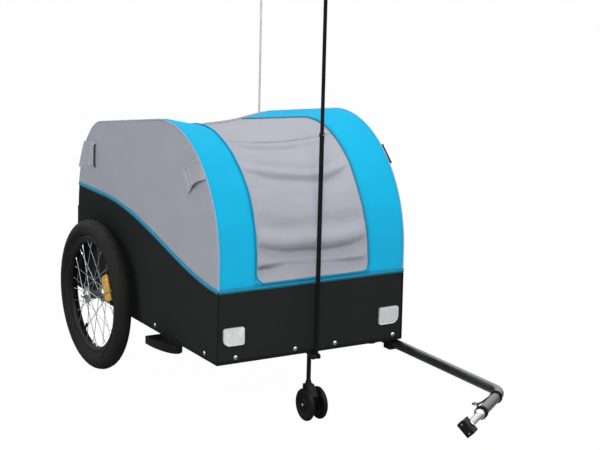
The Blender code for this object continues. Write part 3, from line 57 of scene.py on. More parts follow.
# Sizes of the cabin's cloth
FRONT_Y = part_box("cyan_border")[0].y
HALF_WIDTH = 0.261
LEAN = 0.005  # how far each side has drawn in at the roof
LENGTH = 0.828
BOTTOM = 0.171
BASE_TOP = 0.191
FRONT_WAIST = 0.350
REAR_WAIST = 0.464
WAIST_REACH = 0.66
WAIST_POWER = 1.7
FRONT_CENTRE = (0.295, 0.405)  # station and height of the front curve's middle
ROOF_TOP = 0.713
FRONT_CURVE_END = math.radians(80)
REAR_CENTRE = (0.665, 0.400)
REAR_TOP = 0.656
REAR_CURVE_START = math.radians(84)
ROOF_END = REAR_CENTRE[0]
FLAP_HALF = 0.161
FLAP_CORNER = 0.026  # radius of the flap's lower corners
STRIP = 0.0075  # height of the blue strip under the flap
SEAM_STATION = 0.180
SAG = 0.032  # how far the roof cloth hangs between the bows
SAG_AT_REAR = 0.95
REAR_SEAM = 0.8196  # station at which the sag has run out
HOOP_INSET = 0.0112
BETWEEN_HOOPS = 0.2418
SEAM_SIDES = 8

# The wheels: place of the right or left wheel's middle, and radii
WHEEL_X, WHEEL_STATION, WHEEL_Z = 0.300, 0.625, 0.200
RIM_R = 0.1575
TYRE_HALF, TYRE_MIDDLE = 0.0225, 0.1775
TREAD_COUNT = 66
# Rows of tread blocks: place across, width, shift along, length and slant of a block
TREAD_ROWS = ((0.0, 0.0070, 0.0, 0.0052, 0.5), (0.0120, 0.0052, 0.5, 0.0046, 0.8),
              (-0.0120, 0.0052, 0.5, 0.0046, -0.8))
SPOKE_COUNT = 28

# The studio: name, place, size in metres and power in watts of each lamp
LAMPS = (("key", (-1.5, -2.9, 3.1), 1.1, 74.0), ("fill", (3.0, -1.8, 2.0), 1.6, 20.0),
         ("top", (0.3, 0.2, 3.6), 1.6, 40.0), ("side", (-3.4, 0.6, 1.9), 1.8, 39.0))
LAMP_TARGET = Vector((0.0, 0.1, 0.3))
SKY_LIGHT = 0.34
OVERHEAD_SHINE = 2.2  # extra light that only reflections see overhead
LEVEL_SHINE = 0.25  # and at eye level
FLOOR_SIZE = 30.0
FLOOR_GLOW = 0.985

# The camera, solved from the cabin's edges and the wheel's size
CAMERA_YAW, CAMERA_PITCH, CAMERA_ROLL = 0.53932, 0.21657, -0.02442
CAMERA_PLACE = (-1.98325, -3.2427 + FRONT_Y, 1.3231)
FOCAL_PIXELS, PICTURE_PIXELS, SENSOR_WIDTH = 1623.87, 600, 36.0


def at(x, station, height):
    return Vector((x, FRONT_Y + station, height))


def cloth_at(x, station, height):
    """A point of the cabin, whose sides lean in towards the roof."""
    return at(x * (1 - LEAN / HALF_WIDTH * (height - BASE_TOP) / (ROOF_TOP - BASE_TOP)), station, height)


# Materials


class Sock:
    """A value in a material's node tree. Arithmetic on it adds Math nodes."""

    def __init__(self, tree, socket):
        self.tree = tree
        self.socket = socket

    def math(self, operation, *others, clamp=False):
        node = self.tree.nodes.new("ShaderNodeMath")
        node.operation = operation
        node.use_clamp = clamp
        for slot, value in enumerate((self, *others)):
            link(self.tree, value, node.inputs[slot])
        return Sock(self.tree, node.outputs[0])

    def __add__(self, other):
        return self.math("ADD", other)

    def __rsub__(self, other):
        return self * -1.0 + other

    def __mul__(self, other):
        return self.math("MULTIPLY", other)

    def sin(self):
        return self.math("SINE")

    def clip(self):
        return self.math("ADD", 0.0, clamp=True)


def link(tree, value, socket):
    if isinstance(value, Sock):
        tree.links.new(value.socket, socket)
    elif isinstance(value, tuple) and len(value) == 3 and socket.type == "RGBA":
        socket.default_value = (*value, 1.0)
    else:
        socket.default_value = value


class Paint:
    """A material with one Principled shader, and short calls for the nodes that feed it."""

    def __init__(self, name, colour, roughness, metallic=0.0, **fixed):
        self.material = bpy.data.materials.new(name)
        self.material.use_nodes = True
        self.tree = self.material.node_tree
        self.shader = self.tree.nodes["Principled BSDF"]
        self.put("Base Color", colour)
        self.put("Roughness", roughness)
        self.put("Metallic", metallic)
        for key, value in fixed.items():
            self.put(key.replace("_", " "), value)
        self.coords = self.node("ShaderNodeTexCoord")

    def node(self, kind, props=None, **inputs):
        made = self.tree.nodes.new(kind)
        for key, value in (props or {}).items():
            setattr(made, key, value)
        for key, value in inputs.items():
            link(self.tree, value, made.inputs[key.replace("_", " ")])
        return made

    def put(self, name, value):
        link(self.tree, value, self.shader.inputs[name])

    def out(self, node, name=0):
        return Sock(self.tree, node.outputs[name])

    def object_point(self):
        return self.out(self.coords, "Object")

    def sheet_point(self):
        return self.out(self.coords, "UV")

    def parts(self, point):
        made = self.node("ShaderNodeSeparateXYZ", Vector=point)
        return [self.out(made, name) for name in ("X", "Y", "Z")]

    def noise(self, point, scale, detail=3.0, roughness=0.55, distortion=0.0):
        made = self.node("ShaderNodeTexNoise", Vector=point, Scale=scale, Detail=detail, Roughness=roughness,
                         Distortion=distortion)
        return self.out(made, "Fac")

    def ramp(self, value, low, high, out_low=0.0, out_high=1.0):
        made = self.node("ShaderNodeMapRange", Value=value)
        limits = (("From Min", low), ("From Max", high), ("To Min", out_low), ("To Max", out_high))
        for name, number in limits:
            made.inputs[name].default_value = number
        return self.out(made, "Result")

    def mix(self, share, first, second):
        made = self.node("ShaderNodeMix", {"data_type": "RGBA"})
        for slot, value in ((0, share), (6, first), (7, second)):
            link(self.tree, value, made.inputs[slot])
        return self.out(made, 2)

    def bump(self, height, strength, distance):
        made = self.node("ShaderNodeBump", Height=height, Strength=strength, Distance=distance)
        link(self.tree, self.out(made), self.shader.inputs["Normal"])


def srgb(red, green, blue):
    """A colour from 0 to 255 values, as linear light."""
    values = []
    for part in (red, green, blue):
        share = part / 255
        values.append(share / 12.92 if share <= 0.04045 else ((share + 0.055) / 1.055) ** 2.4)
    return tuple(values)


def shade(colour, factor):
    return tuple(min(part * factor, 1.0) for part in colour)


def woven(name, colour, thread=0.0011, sheen=0.04, roughness=0.82, relief=0.35, gloss=0.2):
    """Plain-weave cloth on a piece's own UV map, which is in metres along the sheet."""
    paint = Paint(name, colour, roughness, Sheen_Weight=sheen, Sheen_Roughness=0.45, Specular_IOR_Level=gloss)
    mottle = 0.05
    point = paint.sheet_point()
    across, along, _ = paint.parts(point)
    turn = 2 * math.pi / thread
    warp = (across * turn).sin()
    weft = (along * turn).sin()
    over = (across * (turn / 2)).sin() * (along * (turn / 2)).sin()
    weave = (warp * 0.5 + 0.5) * (over * 0.5 + 0.5) + (weft * 0.5 + 0.5) * (0.5 - over * 0.5)
    cloud = paint.noise(point, 9.0, 4.0)
    slub = paint.noise(point, 420.0, 2.0)
    tone = paint.ramp(cloud, 0.3, 0.7)
    base = paint.mix(tone, shade(colour, 1 - mottle), shade(colour, 1 + mottle))
    threads = paint.mix(paint.ramp(weave * 0.7 + slub * 0.3, 0.1, 0.8), shade(colour, 0.86), base)
    paint.put("Base Color", threads)
    paint.put("Roughness", paint.ramp(cloud + slub * 0.5, 0.4, 1.1, roughness - 0.06, roughness + 0.08))
    paint.bump(weave + slub * 0.4, relief, 0.0003)
    return paint.material


def worn(paint, marks, spread_of_marks, colours, rough, grain, relief, depth=0.0002):
    """Finishes a paint with marks that change its colour and roughness, and with a fine grain."""
    point = paint.object_point()
    mark = paint.noise(point, *marks)
    paint.put("Base Color", paint.mix(paint.ramp(mark, *spread_of_marks), *colours))
    paint.put("Roughness", paint.ramp(mark, *rough))
    paint.bump(paint.noise(point, *grain), relief, depth)
    return paint.material


def moulded(name, colour, roughness=0.45, grain=900.0, relief=0.12, gloss=0.25):
    """Moulded plastic with a fine spark-eroded grain and faint scuffs."""
    paint = Paint(name, colour, roughness, Specular_IOR_Level=gloss)
    return worn(paint, (35.0, 5.0, 0.7, 0.6), (0.45, 0.75), (colour, shade(colour, 1.35)),
                (0.35, 0.75, roughness - 0.07, roughness + 0.12), (grain, 3.0), relief)


def enamel(name, colour, roughness=0.32, gloss=0.3, coat=0.1):
    """Powder coat with a little orange peel."""
    paint = Paint(name, colour, roughness, Coat_Weight=coat, Coat_Roughness=0.1, Specular_IOR_Level=gloss)
    return worn(paint, (18.0, 5.0, 0.65), (0.45, 0.8), (colour, shade(colour, 1.5)),
                (0.3, 0.8, roughness - 0.05, roughness + 0.12), (260.0, 2.0), 0.10, 0.0003)


def plated(name, colour, roughness):
    """Plated metal with fine lines and small stains."""
    paint = Paint(name, colour, roughness, 1.0)
    point = paint.object_point()
    lines = paint.noise(point, 700.0, 3.0)
    stain = paint.noise(point, 60.0, 4.0, 0.6)
    paint.put("Base Color", paint.mix(paint.ramp(stain, 0.4, 0.75), colour, shade(colour, 0.8)))
    paint.put("Roughness", paint.ramp(stain * 0.6 + lines * 0.4, 0.3, 0.7, roughness * 0.75, roughness * 1.5))
    paint.bump(lines, 0.08, 0.0002)
    return paint.material


def lens(name, colour, pitch=0.0032):
    """Reflector plastic with a grid of small prisms under a clear face."""
    paint = Paint(name, colour, 0.12, Coat_Weight=0.8, Coat_Roughness=0.05, Specular_IOR_Level=0.6)
    x, y, z = paint.parts(paint.object_point())
    turn = 2 * math.pi / pitch
    cells = (((x + y) * turn).sin() * (z * turn).sin()).math("ABSOLUTE")
    cloud = paint.noise(paint.object_point(), 60.0, 2.0)
    tone = paint.ramp(cells + cloud * 0.2, 0.0, 1.0)
    paint.put("Base Color", paint.mix(tone, shade(colour, 0.72), shade(colour, 1.2)))
    paint.bump(cells, 0.4, 0.0004)
    return paint.material


def tyre_rubber(name):
    """Rubber with dust on it."""
    paint = Paint(name, srgb(26, 26, 27), 0.72, Specular_IOR_Level=0.12)
    return worn(paint, (24.0, 5.0, 0.65), (0.4, 0.8), (srgb(24, 24, 25), srgb(37, 36, 34)),
                (0.3, 0.8, 0.62, 0.88), (800.0, 2.0), 0.15)


M = {
    "cyan": woven("cyan_cloth_finish", srgb(22, 180, 226), roughness=0.75, gloss=0.1),
    "pale": woven("pale_cloth_finish", srgb(172, 174, 183)),
    "grey": woven("grey_cloth_finish", srgb(154, 156, 166)),
    "tab": woven("tab_cloth_finish", srgb(156, 158, 167)),
    # The hems are a lighter copy of the tab cloth: painted highlight on their rolled edges.
    "hem": woven("tab_hem_finish", srgb(182, 184, 192)),
    "black_cloth": woven("black_cloth_finish", srgb(40, 43, 42), sheen=0.0, relief=0.5, gloss=0.0),
    "binding": woven("binding_finish", srgb(22, 22, 23), thread=0.0016, sheen=0.0, gloss=0.1),
    "piping": woven("piping_finish", srgb(40, 142, 176), thread=0.0014, gloss=0.1),
    # darker teal for the cord that paints the shadow under the waist piping
    "under_piping": woven("under_piping_finish", srgb(18, 92, 112), thread=0.0014, gloss=0.1),
    "flap_piping": woven("flap_piping_finish", srgb(24, 142, 180), thread=0.0014, gloss=0.1),
    "edge_seam": woven("edge_seam_finish", srgb(150, 176, 196), thread=0.0014, gloss=0.1),
    "blue_stitch": woven("blue_stitch_finish", srgb(18, 140, 196), thread=0.0006),
    "dark_stitch": woven("dark_stitch_finish", srgb(58, 58, 60), thread=0.0006),
    "stitch": woven("stitch_finish", srgb(186, 188, 196), thread=0.0006),
    "orange": woven("orange_cloth_finish", srgb(245, 96, 30), roughness=0.7),
    "plastic": moulded("black_plastic_finish", srgb(17, 17, 18), 0.5, gloss=0.12),
    "grip": moulded("grip_finish", srgb(24, 24, 25), 0.62, 500.0, 0.35, 0.15),
    "enamel": enamel("black_enamel_finish", srgb(20, 20, 22), gloss=0.2),
    "pole": enamel("pole_enamel_finish", srgb(14, 15, 16), 0.45, gloss=0.1, coat=0.02),
    "gloss": enamel("tow_enamel_finish", srgb(26, 27, 29), 0.34, gloss=0.5, coat=0.5),
    "rim": enamel("rim_finish", srgb(13, 14, 14), 0.42, gloss=0.14, coat=0.03),
    "board": moulded("board_finish", srgb(40, 39, 38), 0.8, 300.0, 0.5),
    "zinc": plated("zinc_finish", srgb(196, 199, 203), 0.28),
    "spoke": plated("spoke_finish", srgb(182, 185, 189), 0.3),
    # grey for the ring that paints the reflection along the rim's lip
    "rim_line": plated("rim_line_finish", srgb(84, 85, 87), 0.4),
    "chrome": plated("chrome_finish", srgb(205, 207, 210), 0.12),
    "tyre": tyre_rubber("tyre_finish"),
    "amber": lens("amber_lens_finish", srgb(216, 168, 44)),
    "white": lens("white_lens_finish", srgb(206, 209, 209), 0.004),
    "reflector_rim": moulded("reflector_rim_finish", srgb(204, 206, 206), 0.3, 600, 0.05),
    "rod": moulded("white_rod_finish", srgb(206, 206, 202), 0.35, 500.0, 0.05),
}


# Making pieces


def piece(name, bm, paint, body, stands_for=(), slot=None, angle=35.0, keep_normals=False):
    """A mesh in the model's frame that rides on a body and stands for CAD nodes."""
    if not keep_normals:
        bmesh.ops.recalc_face_normals(bm, faces=bm.faces)
    mesh = bpy.data.meshes.new(name)
    bm.to_mesh(mesh)
    bm.free()
    mesh.shade_smooth()
    mesh.set_sharp_from_angle(angle=math.radians(angle))
    obj = bpy.data.objects.new(name, mesh)
    bpy.context.scene.collection.objects.link(obj)
    obj.data.materials.append(M[paint])
    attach(obj, body)
    if stands_for:
        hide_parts(*((stands_for,) if isinstance(stands_for, str) else stands_for))
    return obj


def bevel(obj, width, segments=3):
    edge = obj.modifiers.new("edges", "BEVEL")
    edge.width = width
    edge.segments = segments
    edge.limit_method = "ANGLE"
    edge.angle_limit = math.radians(40)
    edge.harden_normals = True


def dress(node, paint, width, segments=3):
    """Gives a CAD node its finish and softened edges."""
    for slot in NODES[node].material_slots:
        slot.material = M[paint]
    bevel(NODES[node], width, segments)


def add_block(bm, low, high):
    size = [high[i] - low[i] for i in range(3)]
    middle = [(high[i] + low[i]) / 2 for i in range(3)]
    made = bmesh.ops.create_cube(bm, size=1.0)
    bmesh.ops.scale(bm, vec=size, verts=made["verts"])
    bmesh.ops.translate(bm, vec=middle, verts=made["verts"])
    return made["verts"]


def add_rod(bm, start, end, radius, sides=16, end_radius=None):
    start, end = Vector(start), Vector(end)
    along = end - start
    turn = along.to_track_quat("Z", "Y").to_matrix().to_4x4()
    bmesh.ops.create_cone(bm, cap_ends=True, segments=sides, radius1=radius,
                          radius2=radius if end_radius is None else end_radius, depth=along.length,
                          matrix=Matrix.Translation((start + end) / 2) @ turn)


def add_turned(bm, profile, centre, axis, steps, closed=False):
    """Spins (along, radius) pairs round an axis."""
    axis = Vector(axis).normalized()
    side = Vector((0, 0, -1)) if abs(axis.x) > 0.99 else axis.orthogonal().normalized()
    start = len(bm.verts)
    verts = [bm.verts.new(Vector(centre) + axis * along + side * radius) for along, radius in profile]
    edges = [bm.edges.new(pair) for pair in zip(verts, verts[1:])]
    if closed:
        edges.append(bm.edges.new((verts[-1], verts[0])))
    bmesh.ops.spin(bm, geom=verts + edges, cent=Vector(centre), axis=axis, angle=2 * math.pi, steps=steps,
                   use_merge=True, use_duplicate=False)
    bm.verts.ensure_lookup_table()
    bmesh.ops.remove_doubles(bm, verts=bm.verts[start:], dist=1e-6)


def turned(name, parts, steps, paint, body, stands_for=(), slot=None, closed=True, angle=35.0):
    """A piece of one or more parts, each with a profile, a centre and an axis to spin it round."""
    bm = bmesh.new()
    for profile, centre, axis in parts:
        add_turned(bm, profile, centre, axis, steps, closed)
    return piece(name, bm, paint, body, stands_for, slot, angle)


def flipped(profile, sign):
    return [(sign * along, radius) for along, radius in profile]


def mirrored(profile):
    """The other half of a profile, which runs on from its end."""
    return [(-along, radius) for along, radius in reversed(profile)]


def add_tubes(bm, paths, radius, sides=12, closed=False, tapered=False):
    """Round cords along lists of points, with flat ends, or ends of half the width."""
    curve = bpy.data.curves.new("cords", "CURVE")
    curve.dimensions = "3D"
    curve.bevel_depth = radius
    curve.bevel_resolution = (sides - 4) // 2
    curve.use_fill_caps = not closed
    for path in paths:
        spline = curve.splines.new("POLY")
        spline.points.add(len(path) - 1)
        spline.use_cyclic_u = closed
        for knot, point in zip(spline.points, path):
            knot.co = (*point, 1.0)
        if tapered:
            spline.points[0].radius = 0.5
            spline.points[-1].radius = 0.5
    guide = bpy.data.objects.new("cords", curve)
    bpy.context.scene.collection.objects.link(guide)
    bpy.context.view_layer.update()
    graph = bpy.context.evaluated_depsgraph_get()
    mesh = bpy.data.meshes.new_from_object(guide.evaluated_get(graph))
    bpy.data.objects.remove(guide, do_unlink=True)
    bm.from_mesh(mesh)
    bpy.data.meshes.remove(mesh)
    bpy.data.curves.remove(curve)
    bmesh.ops.remove_doubles(bm, verts=bm.verts, dist=1e-7)


def cords(name, paths, radius, sides, paint, slot=None, body="chassis", stands_for=(), closed=False):
    """A piece of round cords or tubes along lists of points."""
    bm = bmesh.new()
    add_tubes(bm, paths, radius, sides, closed)
    return piece(name, bm, paint, body, stands_for, slot)


def add_plate(bm, outline, back, face):
    """A flat plate with an outline in x and z, between two depths, and its front face."""
    base = bm.faces.new([bm.verts.new((x, back, z)) for x, z in outline])
    grown = bmesh.ops.extrude_face_region(bm, geom=[base])["geom"]
    verts = [item for item in grown if isinstance(item, bmesh.types.BMVert)]
    bmesh.ops.translate(bm, vec=(0, face - back, 0), verts=verts)
    return [item for item in grown if isinstance(item, bmesh.types.BMFace)]


def arc(centre, radii, start, end, steps):
    points = []
    for index in range(steps + 1):
        angle = start + (end - start) * index / steps
        points.append((centre[0] + radii[0] * math.cos(angle), centre[1] + radii[1] * math.sin(angle)))
    return points


def bent_path(corners, radius, steps):
    path = [Vector(corners[0])]
    for before, here, after in zip(corners, corners[1:], corners[2:]):
        into = (Vector(here) - Vector(before)).normalized()
        out = (Vector(after) - Vector(here)).normalized()
        angle = into.angle(out)
        normal = (out - into * into.dot(out)).normalized()
        middle = Vector(here) - into * radius * math.tan(angle / 2) + normal * radius
        for step in range(steps + 1):
            part = angle * step / steps
            path.append(middle - normal * radius * math.cos(part) + into * radius * math.sin(part))
    path.append(Vector(corners[-1]))
    return path


def smooth_path(points, steps):
    padded = [points[0] * 2 - points[1], *points, points[-1] * 2 - points[-2]]
    path = []
    for a, b, c, d in zip(padded, padded[1:], padded[2:], padded[3:]):
        for index in range(steps):
            t = index / steps
            path.append(0.5 * (2 * b + (c - a) * t + (2 * a - 5 * b + 4 * c - d) * t * t
                               + (3 * b - a - 3 * c + d) * t**3))
    path.append(points[-1])
    return path


def spread(low, high, count):
    return [low + (high - low) * index / count for index in range(count + 1)]


# The cabin's outline


def outline_table():
    """Distances, stations and heights along the cloth's outline, from the front waist to the rear's foot."""
    front = (FRONT_CENTRE[0], ROOF_TOP - FRONT_CENTRE[1])
    rear = (LENGTH - ROOF_END, REAR_TOP - REAR_CENTRE[1])
    points = [(0.0, FRONT_WAIST)]
    points += arc(FRONT_CENTRE, front, math.pi, FRONT_CURVE_END, 240)
    points += arc(REAR_CENTRE, rear, REAR_CURVE_START, 0.0, 200)
    points.append((LENGTH, BOTTOM))
    stations = np.array([p[0] for p in points])
    heights = np.array([p[1] for p in points])
    steps = np.hypot(np.diff(stations), np.diff(heights))
    return np.concatenate([[0.0], np.cumsum(steps)]), stations, heights


OUT_S, OUT_Y, OUT_Z = outline_table()


def interpolate(value, places, values):
    return float(np.interp(value, places, values))


def outline(distance):
    """Station, height and outward normal at a distance along the outline."""
    reach = 0.004
    y0, y1 = (interpolate(distance + d, OUT_S, OUT_Y) for d in (-reach, reach))
    z0, z1 = (interpolate(distance + d, OUT_S, OUT_Z) for d in (-reach, reach))
    along = Vector((y1 - y0, z1 - z0)).normalized()
    return interpolate(distance, OUT_S, OUT_Y), interpolate(distance, OUT_S, OUT_Z), (-along.y, along.x)


S_SEAM, S_ROOF = (interpolate(station, OUT_Y, OUT_S) for station in (SEAM_STATION, ROOF_END))
rear_side = OUT_Y > ROOF_END + 0.05
S_REAR = interpolate(-REAR_WAIST, -OUT_Z[rear_side], OUT_S[rear_side])
REAR_LIMIT = interpolate(-REAR_WAIST, -OUT_Z[rear_side], OUT_Y[rear_side])
S_END = float(OUT_S[-1])


def waist(station):
    share = min(max(station, 0.0) / WAIST_REACH, 1.0)
    return FRONT_WAIST + (REAR_WAIST - FRONT_WAIST) * math.sin(share * math.pi / 2) ** WAIST_POWER


def top_height(station):
    """Height of the side panel's upper edge."""
    return interpolate(station, OUT_Y, OUT_Z)


# Cloth


class Ripple:
    """Smooth random waves over a sheet, the same each time."""

    def __init__(self, seed, waves, shortest, longest, lean=(1.0, 1.0)):
        chance = np.random.default_rng(seed)
        angle = chance.uniform(0, 2 * math.pi, waves)
        length = chance.uniform(shortest, longest, waves)
        self.kx = 2 * math.pi * np.cos(angle) / length * lean[0]
        self.ky = 2 * math.pi * np.sin(angle) / length * lean[1]
        self.phase = chance.uniform(0, 2 * math.pi, waves)
        self.size = length / length.sum()

    def __call__(self, u, v):
        return float(np.sum(self.size * np.sin(self.kx * u + self.ky * v + self.phase)))


FLAP_RIPPLE = Ripple(11, 26, 0.035, 0.11, (0.55, 1.5))
FINE_RIPPLE = Ripple(12, 30, 0.012, 0.03, (0.7, 1.2))
ROOF_RIPPLE = Ripple(13, 24, 0.05, 0.16, (1.4, 0.6))
BAND_RIPPLE = Ripple(14, 24, 0.03, 0.12)
EDGE_RIPPLE = Ripple(15, 16, 0.018, 0.05, (0.2, 1.0))
SIDE_RIPPLE = Ripple(21, 26, 0.06, 0.22)
SKIRT_RIPPLE = Ripple(22, 26, 0.05, 0.25, (1.0, 0.7))
FRONT_RIPPLE = Ripple(23, 24, 0.05, 0.20, (0.8, 1.0))

# How deep the waves go in each cloth, and how high its seams and the zip's tape stand
FLAP_WAVE, FLAP_EDGE_WAVE, FINE_WAVE = 0.0055, 0.0024, 0.0010
ROOF_WAVE, BAND_WAVE, BAND_EDGE_WAVE = 0.0065, 0.0032, 0.0016
SIDE_WAVE, FRONT_WAVE, REAR_WAVE = 0.0022, 0.0020, 0.0022
ZIP_RIDGE, WAIST_ROLL, SEAM_DIP = 0.0012, 0.0050, 0.0018


def smoothstep(low, high, value):
    share = min(max((value - low) / (high - low), 0.0), 1.0)
    return share * share * (3 - 2 * share)


def hump(value, width):
    """One at zero, and falling off softly on both sides."""
    return math.exp(-((value / width) ** 2))


def sheet_mesh(name, us, vs, place, paint, thickness=0.0014, body="chassis", stands_for=(), slot=None,
               cut=None):
    """A cloth panel over a grid of its own u and v, in metres, with a UV map in metres."""
    bm = bmesh.new()
    across, along = len(us) - 1, len(vs) - 1
    made = bmesh.ops.create_grid(bm, x_segments=across, y_segments=along, size=1.0)
    layer = bm.loops.layers.uv.new("flat")
    where = {}
    for vert in made["verts"]:
        i = round((vert.co.x + 1) / 2 * across)
        j = round((vert.co.y + 1) / 2 * along)
        where[vert] = (us[i], vs[j])
        vert.co = place(us[i], vs[j])
    for face in bm.faces:
        for loop in face.loops:
            loop[layer].uv = where[loop.vert]
    if cut:
        gone = [face for face in bm.faces if cut(*np.mean([where[v] for v in face.verts], axis=0))]
        bmesh.ops.delete(bm, geom=gone, context="FACES")
    obj = piece(name, bm, paint, body, stands_for, slot, angle=60.0, keep_normals=True)
    skin = obj.modifiers.new("thickness", "SOLIDIFY")
    skin.thickness = thickness
    skin.offset = -1.0
    return obj


def scale_uv(obj):
    """Sets a flat piece's UV map to its own station and height, in metres."""
    layer = obj.data.uv_layers.active.data
    for loop in obj.data.loops:
        point = obj.data.vertices[loop.vertex_index].co
        layer[loop.index].uv = (point.y, point.z)


# Top cloth

BOWS = ["bow_right", "bow_left"]


def sag_share(station):
    if station < SEAM_STATION:
        return math.sin(math.pi / 2 * max(station, 0.0) / SEAM_STATION)
    along = min((station - SEAM_STATION) / (ROOF_END - SEAM_STATION), 1.0)
    past = max((station - ROOF_END) / (REAR_SEAM - ROOF_END), 0.0)
    return (1 - (1 - SAG_AT_REAR) * along**2) * max(1 - past, 0.0)


# Cross folds of the flap. Each has places across it, with the fold's distance from the waist and its
# strength at each, and then sizes: the step that the cloth makes inwards, the bulge above it, the hollow
# above that and its distance, the length of the step and how far the drawn-in cloth reaches below it
FOLDS = (
    ((-0.161, -0.115, -0.05, 0.03, 0.08, 0.12, 0.161), (0.300, 0.290, 0.275, 0.265, 0.260, 0.272, 0.290),
     (0.3, 0.8, 1.0, 1.0, 1.0, 0.7, 0.2), 0.0105, 0.0034, 0.0034, 0.032, 0.014, 0.055),
    ((-0.161, -0.130, -0.08, 0.0, 0.06, 0.12, 0.161), (0.106, 0.096, 0.088, 0.086, 0.084, 0.088, 0.094),
     (0.35, 0.8, 1.0, 1.0, 1.0, 0.9, 0.4), 0.0270, 0.0100, 0.0060, 0.052, 0.021, 0.026),
    ((-0.161, -0.130, -0.08, 0.0, 0.06, 0.12, 0.161), (0.048, 0.049, 0.050, 0.045, 0.042, 0.041, 0.042),
     (1.1, 1.6, 0.8, 0.25, 0.6, 1.1, 0.8), 0.0170, 0.0040, 0.0, 0.03, 0.017, 0.014),
    ((-0.161, -0.100, -0.05, 0.02, 0.08, 0.161), (0.394, 0.391, 0.386, 0.383, 0.384, 0.385),
     (0.2, 0.8, 1.0, 0.9, 0.6, 0.1), 0.0060, 0.0018, 0.0008, 0.04, 0.014, 0.024),
)


def fold_depth(x, distance):
    """How far the flap is drawn in by its cross folds, each a step under a soft bulge."""
    total = 0.0
    for places, distances, strengths, step, bulge, hollow, apart, wide, reach in FOLDS:
        above = distance - interpolate(x, places, distances)
        strength = interpolate(x, places, strengths)
        below = 1 - smoothstep(-wide / 2, wide / 2, above)
        total += strength * step * below * hump(min(above, 0.0), reach)
        total -= strength * bulge * hump(above - 0.9 * wide, 0.8 * wide)
        total += strength * hollow * hump(above - apart, 0.4 * apart)
    return total


# How far the flap's border runs inside its nominal line, along its distance from the waist
BORDER_AT = (0.0, 0.05, 0.10, 0.15, 0.20, 0.25, 0.30, 0.36, 0.42, 0.50)
BORDER_DRAW = {-1: (0.0, 0.0, 0.0, 0.001, 0.003, 0.004, 0.005, 0.0055, 0.0055, 0.006),
               1: (0.002, 0.004, 0.006, 0.009, 0.0100, 0.0085, 0.005, 0.003, 0.0, 0.0)}


def drawn_border(x, distance):
    """Moves a place across the cloth with the flap's border, which isn't quite straight."""
    draw = interpolate(distance, BORDER_AT, BORDER_DRAW[-1 if x < 0 else 1])
    share = abs(x) / FLAP_HALF
    if share > 1:
        share = max(HALF_WIDTH - abs(x), 0.0) / (HALF_WIDTH - FLAP_HALF)
    return x - math.copysign(draw * smoothstep(0.0, 1.0, share), x)


def canopy_point(x, distance):
    """A point of the top cloth, drawn in by its sag, its folds and its ripples."""
    station, height, (out_y, out_z) = outline(distance)
    depth = SAG * sag_share(station) * max(1 - (x / BETWEEN_HOOPS) ** 2, 0.0)
    middle = abs(x) <= FLAP_HALF
    inner = 1 - abs(x) / FLAP_HALF
    if middle and distance < S_SEAM:
        ends = smoothstep(0.0, 0.03, distance) * smoothstep(0, 0.03, S_SEAM - distance)
        free = smoothstep(0.0, 0.25, inner) * ends
        depth += fold_depth(x, distance) * smoothstep(0.0, 0.10, inner) * smoothstep(0.0, 0.02, distance)
        depth += FLAP_WAVE * free * FLAP_RIPPLE(x, distance)
        depth += FINE_WAVE * FINE_RIPPLE(x, distance) * smoothstep(0.0, 0.12, inner)
        depth += FLAP_EDGE_WAVE * EDGE_RIPPLE(x, distance) * (1 - smoothstep(0.0, 0.3, inner))
        depth -= ZIP_RIDGE * hump(FLAP_HALF - abs(x) - 0.007, 0.004)
        depth -= WAIST_ROLL * smoothstep(STRIP, 0.012, distance) * hump(distance - 0.012, 0.009)
    elif middle:
        depth += ROOF_WAVE * ROOF_RIPPLE(x, distance) * smoothstep(0.0, 0.5, inner)
        depth += FINE_WAVE * FINE_RIPPLE(x, distance)
    else:
        edge = 1 - abs(x) / HALF_WIDTH
        depth += BAND_WAVE * smoothstep(0.0, 0.10, edge) * BAND_RIPPLE(x, distance)
        depth += BAND_EDGE_WAVE * EDGE_RIPPLE(x + 1, distance) * smoothstep(0.30, 0.38, edge)
    if middle:
        depth += SEAM_DIP * hump(distance - S_SEAM, 0.007) * inner
    depth += ZIP_RIDGE * hump(abs(x) - FLAP_HALF, 0.004)
    return cloth_at(drawn_border(x, distance), station - out_y * depth, height - out_z * depth)


def outside_corner(u, v):
    """Whether a place on the flap is outside its rounded lower corner."""
    x, z = FLAP_HALF - abs(u), v - STRIP
    return x < FLAP_CORNER and z < FLAP_CORNER and math.hypot(FLAP_CORNER - x, FLAP_CORNER - z) > FLAP_CORNER


